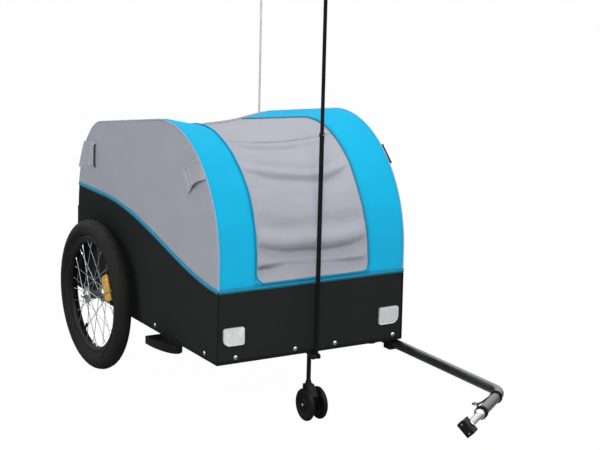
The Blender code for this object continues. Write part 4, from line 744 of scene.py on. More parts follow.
def make_canopy():
    side = spread(FLAP_HALF, HALF_WIDTH, 25)
    rows = spread(0.0, S_ROOF, 250)
    for sign, word in SIDES:
        us = [sign * u for u in side]
        if sign == -1:
            us.reverse()
        stands = "cyan_border" if sign == 1 else ()
        sheet_mesh(f"canopy_band_{word}", us, rows, canopy_point, "cyan", stands_for=stands,
                   slot="cyan_cloth")
    sheet_mesh("canopy_waist_strip", spread(-FLAP_HALF, FLAP_HALF, 60), spread(0.0, STRIP, 3), canopy_point,
               "cyan", slot="cyan_cloth")
    middle = spread(-FLAP_HALF, FLAP_HALF, 84)
    sheet_mesh("flap_cloth", middle, spread(STRIP, S_SEAM, 190), canopy_point, "pale",
               stands_for="front_flap", slot="pale_grey_cloth")
    ahead = Vector((0, 0.0016, 0))
    for sign, word in SIDES:
        low = sorted((sign * FLAP_HALF, sign * (FLAP_HALF - FLAP_CORNER)))
        sheet_mesh(f"flap_corner_{word}", spread(*low, 20), spread(STRIP, STRIP + FLAP_CORNER, 20),
                   lambda x, s: canopy_point(x, s) - ahead, "cyan", thickness=0.0012, slot="cyan_cloth",
                   cut=lambda u, v: not outside_corner(u, v))
    sheet_mesh("roof_cloth", middle, spread(S_SEAM, S_ROOF, 150), canopy_point, "pale",
               stands_for="roof_panel", slot="pale_grey_cloth")
    full = spread(-HALF_WIDTH, HALF_WIDTH, 110)
    sheet_mesh("rear_cloth", full, spread(S_ROOF, S_REAR, 70), canopy_point, "grey", stands_for="rear_panel",
               slot="grey_cloth")


# Side cloth


def side_point(side, station, height, kind):
    """A point of the side cloth, which is taut at its seams and eases in between."""
    seam = waist(station)
    low, high, ripple = seam, top_height(station), SIDE_RIPPLE
    if kind == "skirt":
        low, high, ripple = BOTTOM, seam, SKIRT_RIPPLE
    share = (height - low) / max(high - low, 1e-4)
    ends = smoothstep(0.0, 0.06, station) * smoothstep(0.0, 0.08, LENGTH - station)
    free = max(math.sin(math.pi * min(max(share, 0.0), 1.0)), 0.0) ** 0.6 * ends
    out = SIDE_WAVE * free * (0.4 + 2.2 * ripple(station + side, height))
    out += 0.0007 * hump(height - seam, 0.010) * EDGE_RIPPLE(side, station * 1.3)
    return cloth_at(side * (HALF_WIDTH + out), station, height)


def make_sides():
    """Side panels and skirts. Their grid's v runs from the lower edge, at 0, to the upper one, at 1."""
    reach = 0.0006
    middle = LENGTH / 2
    stations = [middle - (middle - reach) * math.cos(math.pi * i / 150) for i in range(151)]
    panel_stations = [s for s in stations if s < REAR_LIMIT] + [REAR_LIMIT]
    for side, word in SIDES:

        def panel(u, v, side=side):
            station = min(u, REAR_LIMIT - reach)
            seam = min(waist(station), top_height(station))
            return side_point(side, station, seam + (top_height(station) - seam) * v, "panel")

        def skirt(u, v, side=side):
            seam = min(waist(u), top_height(u))
            return side_point(side, u, BOTTOM + (seam - BOTTOM) * v, "skirt")

        rail = [f"side_rail_{word}"]
        for name, node, us, place, paint, flat, rests_on in (
                ("side_cloth", "side_panel", panel_stations, panel, "grey", (0.825, 0.37), BOWS),
                ("skirt_cloth", "skirt", stations, skirt, "black_cloth", (0.83, 0.30), rail)):
            us = us[::-1] if side == -1 else us
            slot = "grey_cloth" if paint == "grey" else paint
            obj = sheet_mesh(f"{name}_{word}", us, spread(0.0, 1.0, 44), place, paint,
                             stands_for=f"{node}_{word}", slot=slot)
            scale_uv(obj)
            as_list(rests_on)


def make_front_and_rear_skirts():
    def front(x, z):
        share = (z - BOTTOM) / (FRONT_WAIST - BOTTOM)
        free = math.sin(math.pi * min(max(share, 0), 1)) ** 0.5 * smoothstep(0, 0.05, HALF_WIDTH - abs(x))
        out = FRONT_WAVE * free * (0.3 + 2.0 * FRONT_RIPPLE(x, z))
        out += 0.0005 * hump(z - FRONT_WAIST, 0.012) * EDGE_RIPPLE(0.5, x)
        return cloth_at(x, -out, z)

    sheet_mesh("front_skirt_cloth", spread(-HALF_WIDTH, HALF_WIDTH, 120), spread(BOTTOM, FRONT_WAIST, 40),
               front, "black_cloth", stands_for="skirt_front", slot="black_cloth")
    foot = S_END - 1e-4

    def rear(x, s):
        station, height, _ = outline(min(s, foot))
        free = smoothstep(0, 0.05, HALF_WIDTH - abs(x)) * smoothstep(0, 0.05, s - S_REAR)
        free *= smoothstep(0, 0.05, S_END - s)
        out = REAR_WAVE * free * (0.3 + 2.0 * FRONT_RIPPLE(x, s))
        return cloth_at(x, station + out, BOTTOM if s >= foot else height)

    sheet_mesh("rear_skirt_cloth", spread(-HALF_WIDTH, HALF_WIDTH, 90), spread(S_REAR, S_END, 60), rear,
               "black_cloth", stands_for="skirt_rear", slot="black_cloth")


# Seams, piping and small trim


def waist_piping(name, points):
    """Piping with a dark cord under it, which is painted shadow under the piping."""
    cords(name, [points], 0.0034, 12, "piping", "cyan_cloth")
    # The lower, darker cord is painted shadow under the piping.
    lower = [point - UP * 0.0048 for point in points]
    cords(name.replace("piping", "edging"), [lower], 0.0024, 10, "under_piping", "cyan_cloth")


def across_cloth(distance, half, count):
    """Points of the top cloth across the cabin."""
    return [canopy_point(x, distance) for x in spread(-half, half, count)]


def make_piping():
    """Round piping in the seams. The outer edges of the bands have a grey seam instead."""
    waist_piping("front_waist_piping",
                 [cloth_at(x, -0.0012, FRONT_WAIST) for x in spread(-HALF_WIDTH, HALF_WIDTH, 80)])
    for side, word in SIDES:
        x = side * (HALF_WIDTH + 0.0008)
        waist_piping(f"waist_piping_{word}",
                     [cloth_at(x, s, waist(s)) for s in spread(0.0, REAR_LIMIT - 0.003, 160)])
        cords(f"flap_piping_{word}", [flap_edge(side, 0.0018)], 0.0021, 12, "flap_piping", "cyan_cloth")
    for side, word in SIDES:
        edge = [canopy_point(side * HALF_WIDTH, s) for s in spread(0.0, S_REAR, 220)]
        cords(f"edge_seam_{word}", [edge], 0.0015, 10, "edge_seam", "grey_cloth")
    seam = [point + UP * 0.0003 for point in across_cloth(S_SEAM, FLAP_HALF, 70)]
    cords("flap_top_seam", [seam], 0.0008, SEAM_SIDES, "grey", "pale_grey_cloth")
    for name, distance, paint in (("rear_roof_seam", S_ROOF, "grey"), ("rear_waist_seam", S_REAR, "piping")):
        cords(name, [across_cloth(distance, HALF_WIDTH, 90)], 0.0014, SEAM_SIDES, paint)
    corners = []
    for side, _ in SIDES:
        for station, top in ((-0.0006, FRONT_WAIST), (LENGTH + 0.0004, 0.40)):
            corners.append([cloth_at(side * (HALF_WIDTH + 0.0004), station, z)
                            for z in spread(BOTTOM + 0.002, top, 30)])
    cords("corner_seams", corners, 0.0016, SEAM_SIDES, "binding", "black_cloth")


def flap_edge(side, lift):
    """The curve of the flap's border: down the side, round the corner and half way along the bottom."""
    points = [(FLAP_HALF, s) for s in spread(S_ROOF - 0.004, STRIP + FLAP_CORNER, 190)]
    points += arc((FLAP_HALF - FLAP_CORNER, STRIP + FLAP_CORNER), (FLAP_CORNER, FLAP_CORNER), 0.0,
                  -math.pi / 2, 14)[1:]
    points += [(x, STRIP) for x in spread(FLAP_HALF - FLAP_CORNER, 0.0, 40)[1:]]
    found = []
    for x, s in points:
        _, _, (out_y, out_z) = outline(s)
        found.append(canopy_point(side * x, s) + Vector((0, out_y, out_z)) * lift)
    return found


def make_bindings():
    """Black tape folded over the cabin's lower edge."""
    low, high = BOTTOM - 0.0005, BOTTOM + 0.008
    thick = 0.0009
    wide, front, rear = HALF_WIDTH + thick, -thick, LENGTH + thick
    bm = bmesh.new()
    for side, _ in SIDES:
        near, far = sorted((side * wide, side * (wide - thick)))
        add_block(bm, at(near, front, low), at(far, rear, high))
    for start in (front, rear - thick):
        add_block(bm, at(thick - wide, start, low), at(wide - thick, start + thick, high))
    bevel(piece("hem_tape", bm, "binding", "chassis", slot="black_cloth"), 0.0003, 2)


def stitch_line(bm, points, pitch=0.0042):
    """Stitches of even length along a line of points."""
    share, radius = 0.62, 0.00035
    lengths = np.cumsum([0.0] + [(b - a).length for a, b in zip(points, points[1:])])
    coords = np.array([list(p) for p in points])

    def where(d):
        return Vector([interpolate(d, lengths, coords[:, k]) for k in range(3)])

    starts = [index * pitch for index in range(int(lengths[-1] / pitch))]
    paths = [[where(s), where(s + pitch * share / 2), where(s + pitch * share)] for s in starts]
    add_tubes(bm, paths, radius, 6, tapered=True)


def make_stitches():
    dark, light, blue = bmesh.new(), bmesh.new(), bmesh.new()
    lift, gap = 0.0003, 0.006
    for side, _ in SIDES:
        out = Vector((side * lift, 0, 0))
        for bm, away, kind, end in ((light, gap, "panel", 0.03), (dark, -gap, "skirt", 0.02)):
            stitch_line(bm, [side_point(side, s, waist(s) + away, kind) + out
                             for s in spread(0.01, REAR_LIMIT - end, 200)])
        for x in (HALF_WIDTH - gap, FLAP_HALF + 0.007):
            stitch_line(blue, lifted([canopy_point(side * x, s) for s in spread(0.004, S_ROOF, 260)], lift))
    for distance in (S_SEAM + gap, S_SEAM - gap):
        stitch_line(light, [point + UP * lift for point in across_cloth(distance, 0.155, 80)])
    piece("light_stitches", light, "stitch", "chassis")
    piece("dark_stitches", dark, "dark_stitch", "chassis")
    piece("blue_stitches", blue, "blue_stitch", "chassis")


def lifted(points, height):
    """A line of points along the cabin, moved off its cloth."""
    out = []
    for index, point in enumerate(points):
        a = points[max(index - 1, 0)]
        b = points[min(index + 1, len(points) - 1)]
        along = (b - a).normalized()
        out.append(point + Vector((0, -along.z, along.y)).normalized() * height)
    return out


# Tabs and pocket


def arc_part(centre, top, low, high, kind):
    """The part of an end curve of the outline between two stations, kind 0, or two heights, kind 1."""
    reach = centre[0] if centre is FRONT_CENTRE else LENGTH - centre[0]
    start, end = (math.pi, FRONT_CURVE_END) if centre is FRONT_CENTRE else (0.0, REAR_CURVE_START)
    points = arc(centre, (reach, top - centre[1]), start, end, 400)
    return np.array([point for point in points if low <= point[kind] <= high])


# The seam's part that each tab comes out of, the tab's lower and upper edges from there, and its open edge
TABS = ((arc_part(FRONT_CENTRE, ROOF_TOP, 0.072, 0.116, 0), (0.0863, -0.0508), (0.0838, -0.0415), "low"),
        (arc_part(REAR_CENTRE, REAR_TOP, 0.511, 0.589, 1), (-0.100, 0.010), (-0.067, 0.006), "far"))


def tab_lift(s, t, opening):
    """How far a tab stands off the side cloth, at shares of its length and of its width."""
    if opening == "low":
        open_share = (1 - smoothstep(0.0, 0.75, t)) * smoothstep(-0.02, 0.12, s)
        open_share *= 1 - 0.75 * smoothstep(0.35, 1.0, s)
        ridge = 1.3 * hump(s - 0.94, 0.05) + 1.1 * hump(s - 0.62, 0.045)
        ridge *= 1 - 0.5 * smoothstep(0.6, 1.0, t)
        ridge += 0.9 * hump(t - 0.95, 0.05) + 0.7 * hump(t - 0.06, 0.05)
    else:
        open_share = smoothstep(0.30, 1.0, s) * smoothstep(0.0, 0.12, min(t, 1 - t))
        open_share += 0.7 * (1 - smoothstep(0.0, 0.35, s))
        ridge = 0.7 * hump(t - 0.10, 0.03) + 1.0 * hump(t - 0.97, 0.04)
        ridge += 0.6 * hump(s - 0.45, 0.05)
    return 0.0010 + 0.0080 * open_share + 0.0016 * ridge


def make_tab(side, word, number, edge, low_edge, high_edge, opening):
    """A doubled loop that stands out from the side cloth, with a black sheet behind its open edge as painted
    shadow.
    """

    def spot(s, t, out):
        if opening == "low":
            t += (1 - t) * 0.13 * math.sin(math.pi * s)
        place = t * (len(edge) - 1)
        station, height = (interpolate(place, range(len(edge)), edge[:, k])
                           + s * (low_edge[k] + (high_edge[k] - low_edge[k]) * t) for k in (0, 1))
        return cloth_at(side * (HALF_WIDTH + out), station, height)

    def lift(s, t):
        return tab_lift(s, t, opening) + 0.0006 * FINE_RIPPLE(s * 0.1 + number, t * 0.05)

    def line(corners, height):
        found = []
        for (s0, t0), (s1, t1) in zip(corners, corners[1:]):
            steps = [(s0 + (s1 - s0) * k / 20, t0 + (t1 - t0) * k / 20) for k in range(21)]
            found += [spot(s, t, lift(s, t) + height) for s, t in steps]
        return found

    shares, across = spread(0.0, 1.0, 44), spread(0.0, 1.0, 32)
    if side * low_edge[0] < 0:
        shares.reverse()
    scale_uv(sheet_mesh(f"tab_{number}_{word}", shares, across, lambda s, t: spot(s, t, lift(s, t)), "tab",
                        thickness=0.0012, slot="grey_cloth"))
    # A black sheet just inside the loop's open edge is painted shadow under the tab.
    margin = 0.03
    shares, across = ([min(max(share, margin), 1 - margin) for share in row] for row in (shares, across))
    scale_uv(sheet_mesh(f"loop_shadow_sheet_{number}_{word}", shares, across,
                        lambda s, t: spot(s, t, max(lift(s, t) - 0.0026, 0.0004)), "binding",
                        thickness=0.0003))
    bm = bmesh.new()
    stitch_line(bm, line([(0.02, 0.90), (0.955, 0.90), (0.955, 0.06), (0.02, 0.06)], 0.0002), 0.0036)
    piece(f"tab_stitches_{number}_{word}", bm, "stitch", "chassis")
    # The hem cords are real ridges, and their lighter paint is painted highlight on the tab's rolled edges.
    hems = [[(0.01, 0.99), (0.99, 0.99), (0.99, 0.01), (0.01, 0.01)], [(0.66, 0.88), (0.62, 0.12)]]
    if opening == "low":
        hems.append([(0.90, 0.88), (0.84, 0.15), (0.66, 0.15)])
    cords(f"tab_hems_{number}_{word}", [line(corners, -0.0002) for corners in hems], 0.0012, SEAM_SIDES,
          "hem", "grey_cloth")
    # On the left, a black cord along the tab's root paints the shade on its edge.
    if word == "left" and opening == "low":
        cords("loop_cord_left", [line([(0.0, 0.02), (0.0, 0.98)], 0.0030)], 0.0022, 10, "binding")


def make_tabs():
    for side, word in SIDES:
        for number, tab in enumerate(TABS, 1):
            make_tab(side, word, number, *tab)


def make_pocket():
    """The flat side pocket with its bound mouth."""
    d0, d1, z0, z1 = 0.006, 0.150, 0.178, 0.276

    def place(u, v):
        edge = min(u - d0, d1 - u, v - z0, z1 - v)
        out = 0.0004 + 0.0100 * smoothstep(0.0, 0.014, edge) + 0.0006 * FINE_RIPPLE(u, v)
        return cloth_at(HALF_WIDTH + out, u, v)

    sheet_mesh("pocket_cloth", spread(d0, d1, 44), spread(z0, z1, 34), place, "black_cloth",
               stands_for="side_pocket", slot="black_cloth")
    loop = [(d0, z0), (d1, z0), (d1, z1), (d0, z1)]
    path = []
    for (a, b), (c, d) in zip(loop, loop[1:] + loop[:1]):
        path += [cloth_at(HALF_WIDTH + 0.0012, a + (c - a) * k / 20, b + (d - b) * k / 20) for k in range(20)]
    cords("pocket_binding", [path], 0.0014, SEAM_SIDES, "binding", "black_cloth", closed=True)


# Reflectors and rivets


def make_reflectors():
    """A ribbed lens in a smooth frame, on each side of the front skirt."""
    for side, word in SIDES:
        low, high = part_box(f"front_reflector_{word}")
        middle = (low + high) / 2
        for name, paint, scale, back, face, rim, sink in (
                ("frame", "reflector_rim", 1.0, high.y, low.y, 0.0034, 0.0012),
                ("lens", "white", 0.86, high.y - 0.002, low.y + 0.0010, 0.0008, -0.0005)):
            points = [(middle.x + x, middle.z + z) for x, z in reflector_outline(side, scale)]
            bm = bmesh.new()
            front = add_plate(bm, points, back, face)
            bmesh.ops.inset_region(bm, faces=front, thickness=rim, depth=-sink, use_even_offset=True)
            stands = (f"front_reflector_{word}",) if name == "frame" else ()
            obj = piece(f"reflector_{name}_{word}", bm, paint, "chassis", stands, "white_lens", angle=25)
            bevel(obj, 0.0005, 2)


def reflector_outline(side, scale):
    """A rectangle with one large corner."""
    wide, tall, small, large = 0.028, 0.022, 0.006, 0.018
    corners = ((1, -1, large, -90), (1, 1, small, 0), (-1, 1, small, 90), (-1, -1, small, 180))
    points = []
    for sx, sz, radius, start in corners:
        cx, cz = sx * (wide - radius), sz * (tall - radius)
        for k in range(9):
            angle = math.radians(start + 90 * k / 8)
            x, z = cx + radius * math.cos(angle), cz + radius * math.sin(angle)
            points.append((x * side * scale, z * scale))
    return points


def make_rivets():
    height, off = BOTTOM + 0.0145, 0.0014
    places = [(at(x, station, height), (0, out, 0)) for station, out in ((-off, -1), (LENGTH + off, 1))
              for x in (-0.212, -0.048, 0.065, 0.235)]
    for side, stations in ((-1, (0.063, 0.335, 0.780)), (1, (0.335, 0.780))):
        places += [(at(side * (HALF_WIDTH + off), s, height), (side, 0, 0)) for s in stations]
    profile = [(-0.0014, 0.0), (-0.0014, 0.0056), (0.0002, 0.0056), (0.0003, 0.0050)]
    turns = spread(0.05, math.pi / 2, 6)[:-1]
    profile += [(0.0003 + 0.0021 * math.sin(t), 0.0048 * math.cos(t)) for t in turns]
    profile.append((0.0024, 0.0))
    turned("rivet_heads", [(profile, *place) for place in places], 24, "chrome", "chassis", closed=False,
           angle=50)


# Frame, floor and axles


def make_bows():
    foot = BASE_TOP + 0.0003
    front = (FRONT_CENTRE[0] - HOOP_INSET, ROOF_TOP - FRONT_CENTRE[1] - HOOP_INSET)
    rear = (LENGTH - ROOF_END - HOOP_INSET, REAR_TOP - REAR_CENTRE[1] - HOOP_INSET)
    path = [(HOOP_INSET, z) for z in spread(foot, FRONT_CENTRE[1] - 0.02, 5)]
    path += arc(FRONT_CENTRE, front, math.pi, FRONT_CURVE_END, 48)
    path += arc(REAR_CENTRE, rear, REAR_CURVE_START, 0.0, 36)
    path += [(LENGTH - HOOP_INSET, foot)]
    for side, word in SIDES:
        x = side * (HALF_WIDTH - HOOP_INSET)
        cords(f"bow_tube_{word}", [[cloth_at(x, s, z) for s, z in path]], 0.0080, 24, "enamel", "black_paint",
              stands_for=f"bow_{word}")
    for node in ("waist_bar", "rear_cross_bar"):
        low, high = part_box(node)
        middle = (low + high) / 2
        profile = [(low.x, 0), (low.x, 0.0062), (low.x + 0.0008, 0.007), (high.x - 0.0008, 0.007),
                   (high.x, 0.0062), (high.x, 0)]
        turned(f"{node}_tube", [(profile, (0, middle.y, middle.z), SIDEWAYS)], 28, "enamel", "chassis", node,
               "black_paint", closed=False)


def make_axle_parts():
    """Turned axles, washers and the tube between them."""
    centre = at(0, WHEEL_STATION, WHEEL_Z)
    end, inside, outside = 0.2587, 0.0054, 0.0087
    tube = [(-end, inside), (-end, outside), (end, outside), (end, inside)]
    turned("axle_tube_turned", [(tube, centre, SIDEWAYS)], 32, "zinc", "chassis", "axle_tube", "zinc")
    thread, pitch = 0.3325, 0.001
    for side, word in SIDES:
        low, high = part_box(f"wheel_axle_{word}")
        inner, outer = sorted((abs(low.x), abs(high.x)))
        profile = [(inner, 0), (inner, 0.0045), (inner + 0.0005, 0.005), (0.2613, 0.005), (0.2613, 0.0082),
                   (0.2619, 0.0090), (0.2729, 0.0090), (0.2735, 0.0082), (0.2735, 0.0050)]
        profile += [(thread + k * pitch + (0.0005 if half else 0), 0.0050 if half else 0.0046)
                    for k in range(int((outer - thread) / pitch)) for half in (0, 1)]
        profile += [(outer, 0.0044), (outer, 0.0)]
        turned(f"axle_{word}", [(flipped(profile, side), centre, SIDEWAYS)], 28, "zinc", "chassis",
               f"wheel_axle_{word}", "zinc", closed=False)


def dress_frame():
    """Gives the CAD nodes that are shown as they are their finishes."""
    for node in ("side_rail_right", "side_rail_left", "front_rail", "rear_rail",
                 "floor_slat_front", "floor_slat_middle", "floor_slat_rear"):
        dress(node, "enamel", 0.0012)
    dress("floor_board", "board", 0.0008, 2)
    for _, word in SIDES:
        dress(f"wheel_guard_{word}", "plastic", 0.0012)
        dress(f"axle_nut_{word}", "chrome", 0.0006, 2)


# Wheels


def both_ways(ring, centre):
    """Parts to turn: a ring on each side of a wheel."""
    return [(flipped(ring, sign), centre, SIDEWAYS) for sign in (-1, 1)]


def make_tyre(word, centre, body):
    half, middle = TYRE_HALF, TYRE_MIDDLE
    bead = math.asin((middle - RIM_R - 0.0003) / half)
    outer = arc((0.0, middle), (half, half), -bead, math.pi + bead, 34)
    inner = arc((0.0, middle), (half - 0.004, half - 0.004), math.pi + bead, -bead, 14)
    turned(f"tyre_body_{word}", [(outer + inner, centre, SIDEWAYS)], 120, "tyre", body, f"tyre_{word}",
           "tyre", angle=50)
    bm = bmesh.new()
    for k in range(TREAD_COUNT):
        for across, wide, shift, long, slant in TREAD_ROWS:
            tilt = math.asin(across / half)
            verts = add_block(bm, (-wide / 2, -long / 2, -0.0012), (wide / 2, long / 2, 0.0004))
            for turn, axis in ((slant, "Z"), (tilt, "Y")):
                bmesh.ops.rotate(bm, cent=(0, 0, 0), matrix=Matrix.Rotation(turn, 3, axis), verts=verts)
            bmesh.ops.translate(bm, vec=(across, 0, middle + half * math.cos(tilt)), verts=verts)
            turn = Matrix.Rotation(2 * math.pi * (k + shift) / TREAD_COUNT, 3, "X")
            bmesh.ops.rotate(bm, cent=(0, 0, 0), matrix=turn, verts=verts)
            bmesh.ops.translate(bm, vec=centre, verts=verts)
    piece(f"tyre_tread_{word}", bm, "tyre", body, slot="tyre", angle=40)
    ribs = []
    for sign in (-1, 1):
        for radius, offset in ((0.1665, 0.0205), (0.1722, 0.0224)):
            foot, crest = offset - 0.0006, offset + 0.0006
            ring = [(foot, radius - 0.0008), (crest, radius), (foot, radius + 0.0008)]
            ribs.append((flipped(ring, sign), centre, SIDEWAYS))
    turned(f"tyre_ribs_{word}", ribs, 96, "tyre", body, slot="tyre")


def make_rim(word, centre, body):
    half, lip, inner = 0.012, RIM_R, RIM_R - 0.017
    right = [(half - 0.0022, lip - 0.0006), (half - 0.0018, lip), (half - 0.0006, lip), (half, lip - 0.0008),
             (half - 0.0003, lip - 0.006), (half - 0.0008, inner + 0.007), (half - 0.0030, inner + 0.003),
             (half - 0.0065, inner + 0.0006), (half - 0.0090, inner)]
    well = [(-half + 0.0036, lip - 0.0065), (half - 0.0036, lip - 0.0065)]
    turned(f"rim_ring_{word}", [(right + mirrored(right) + well, centre, SIDEWAYS)], 120, "rim", body,
           f"rim_{word}", "rim_paint", angle=50)
    # A thin grey metal ring round the rim's lip is painted reflection along it.
    ring = [(0.01205, lip - 0.0026), (0.01235, lip - 0.0018), (0.01205, lip - 0.0010)]
    turned(f"rim_reflection_ring_{word}", both_ways(ring, centre), 96, "rim_line", body, slot="rim_paint")


def make_hub(word, centre, body):
    half, bore = 0.026, 0.0055
    side = [(half, 0.0085), (half, 0.0118), (half - 0.0008, 0.0125), (0.0240, 0.0125), (0.0231, 0.0140),
            (0.0231, 0.0212), (0.0227, 0.0220), (0.0213, 0.0220), (0.0209, 0.0212), (0.0209, 0.0140),
            (0.0195, 0.0128), (0.012, 0.0112), (0.0, 0.0108)]
    end = [(half - 0.001, bore), (half - 0.001, 0.0085)]
    profile = end + side + mirrored(side[:-1]) + mirrored(end)
    turned(f"hub_{word}", [(profile, centre, SIDEWAYS)], 56, "zinc", body, slot="zinc", angle=40)
    ring = [(half - 0.0012, bore + 0.0004), (half - 0.0004, bore + 0.0006), (half - 0.0004, 0.0080),
            (half - 0.0012, 0.0082)]
    turned(f"hub_cones_{word}", both_ways(ring, centre), 32, "chrome", body, slot="zinc")


def make_spokes(word, centre, body):
    """Spokes with a bent elbow at the flange and a nipple at the rim."""
    wrap = math.radians(65)
    flange, hole_r, rim_r = 0.022, 0.019, 0.1398
    nipple = [(0.0, 0.0), (0.0, 0.0013), (0.0095, 0.0016), (0.0105, 0.0021), (0.0125, 0.0021), (0.0125, 0.0)]
    paths, nipples = [], []
    bm = bmesh.new()
    for index in range(SPOKE_COUNT):
        side = 1 if index % 2 else -1
        leading = 1 if (index // 2) % 2 else -1
        angle = 2 * math.pi * (index + 0.5) / SPOKE_COUNT
        hub_angle = angle - leading * wrap
        outer = side * (flange + leading * 0.00155)
        start = Vector((outer, hole_r * math.cos(hub_angle), hole_r * math.sin(hub_angle)))
        end = Vector((side * 0.002, rim_r * math.cos(angle), rim_r * math.sin(angle)))
        along = (end - start).normalized()
        through = Vector((side * (flange - leading * 0.0018), start.y, start.z))
        path = [through, Vector((side * flange, start.y, start.z)), start + along * 0.0008]
        path += [start + along * 0.004, start + (end - start) * 0.5, end - along * 0.010]
        paths.append([centre + p for p in path])
        head = through - Vector((side * leading * 0.0004, 0, 0))
        add_rod(bm, centre + head, centre + through, 0.0017, 10, 0.0015)
        nipples.append((nipple, centre + end - along * 0.0105, along))
    add_tubes(bm, paths, 0.0009, 8)
    piece(f"spoke_set_{word}", bm, "spoke", body, f"hub_and_spokes_{word}", "zinc", angle=60)
    turned(f"spoke_nipples_{word}", nipples, 10, "chrome", body, slot="zinc", closed=False)


def make_spoke_reflector(word, centre, body):
    """An amber shell with a ribbed face on each side, clipped between the spokes."""
    turn = Matrix.Rotation(math.radians(156), 3, "X")
    shell, face, ribs = bmesh.new(), bmesh.new(), bmesh.new()
    add_block(shell, (-0.0044, -0.017, -0.035), (0.0044, 0.017, 0.035))
    bmesh.ops.bevel(shell, geom=shell.edges[:], offset=0.003, segments=3, affect="EDGES", profile=0.5)
    for sign in (-1, 1):
        x = sign * 0.0050
        add_block(face, (x - 0.0008, -0.0135, -0.0315), (x + 0.0008, 0.0135, 0.0315))
        for place in spread(-0.0285, 0.0285, 10):
            add_rod(ribs, (x, -0.0128, place), (x, 0.0128, place), 0.0012, 8)
    bmesh.ops.bevel(face, geom=face.edges[:], offset=0.0006, segments=2, affect="EDGES", profile=0.5)
    for name, bm in (("shell", shell), ("face", face), ("ribs", ribs)):
        bmesh.ops.translate(bm, vec=(0, 0.0875, 0), verts=bm.verts)
        bmesh.ops.rotate(bm, cent=(0, 0, 0), matrix=turn, verts=bm.verts)
        bmesh.ops.translate(bm, vec=centre, verts=bm.verts)
        stands = f"spoke_reflector_{word}" if name == "shell" else ()
        piece(f"reflector_{name}_{word}", bm, "amber", body, stands, "amber_lens")


def make_valve(word, centre, body):
    angle = math.radians(300)
    out = Vector((0, math.cos(angle), math.sin(angle)))
    profile = [(0.0, 0.0), (0.0, 0.0040), (-0.004, 0.0034), (-0.006, 0.0026), (-0.020, 0.0026),
               (-0.0205, 0.0034), (-0.030, 0.0034), (-0.0315, 0.0024), (-0.0315, 0.0)]
    turned(f"valve_{word}", [(profile, centre + out * 0.1405, out)], 20, "tyre", body, slot="tyre",
           closed=False)


def make_wheels():
    for side, word in SIDES:
        centre = at(side * WHEEL_X, WHEEL_STATION, WHEEL_Z)
        for make in (make_tyre, make_rim, make_hub, make_spokes, make_spoke_reflector, make_valve):
            make(word, centre, f"wheel_{word}")


# Caster


def make_caster():
    stem_station, trail, axle_z = 0.0123, 0.018, 0.0405
    axle = at(0, stem_station - trail, axle_z)
    spacing, width, rim, bore, cap_place = 0.0185, 0.0065, 0.0405, 0.0045, 0.0266
    bush = [(0.171, 0.0058), (0.171, 0.0084), (0.1716, 0.0088), (0.2300, 0.0088), (0.232, 0.0076),
            (0.232, 0.0058)]
    turned("caster_bush", [(bush, at(0, stem_station, 0), UP)], 40, "plastic", "chassis", "caster_socket",
           "black_plastic")
    dress("caster_fork", "plastic", 0.0012)
    face = [(width - 0.0018, bore), (width - 0.0008, bore + 0.001), (width - 0.0006, 0.0105),
            (width - 0.0014, 0.0122), (width - 0.0027, 0.0140), (width - 0.0030, 0.0180),
            (width - 0.0028, 0.0250), (width - 0.0014, 0.0272), (width - 0.0003, 0.0290), (width, 0.0305),
            (width - 0.0003, 0.0345), (width - 0.0012, 0.0375), (width - 0.0028, 0.0396),
            (width - 0.0045, rim), (0.0, rim)]
    tread = face + mirrored(face[:-1])
    cap = [(0.0, 0.0), (0.0, 0.0040), (0.0010, 0.0037), (0.0016, 0.0020), (0.0016, 0.0)]
    for side, word in SIDES:
        wheel = f"caster_wheel_{word}"
        middle, end = (axle + SIDEWAYS * (side * away) for away in (spacing, cap_place))
        turned(f"caster_tread_{word}", [(tread, middle, SIDEWAYS)], 72, "plastic", wheel, wheel,
               "black_plastic", angle=40)
        turned(f"caster_cap_{word}", [(flipped(cap, side), end, SIDEWAYS)], 24, "zinc", "caster",
               closed=False)


# Pull handle


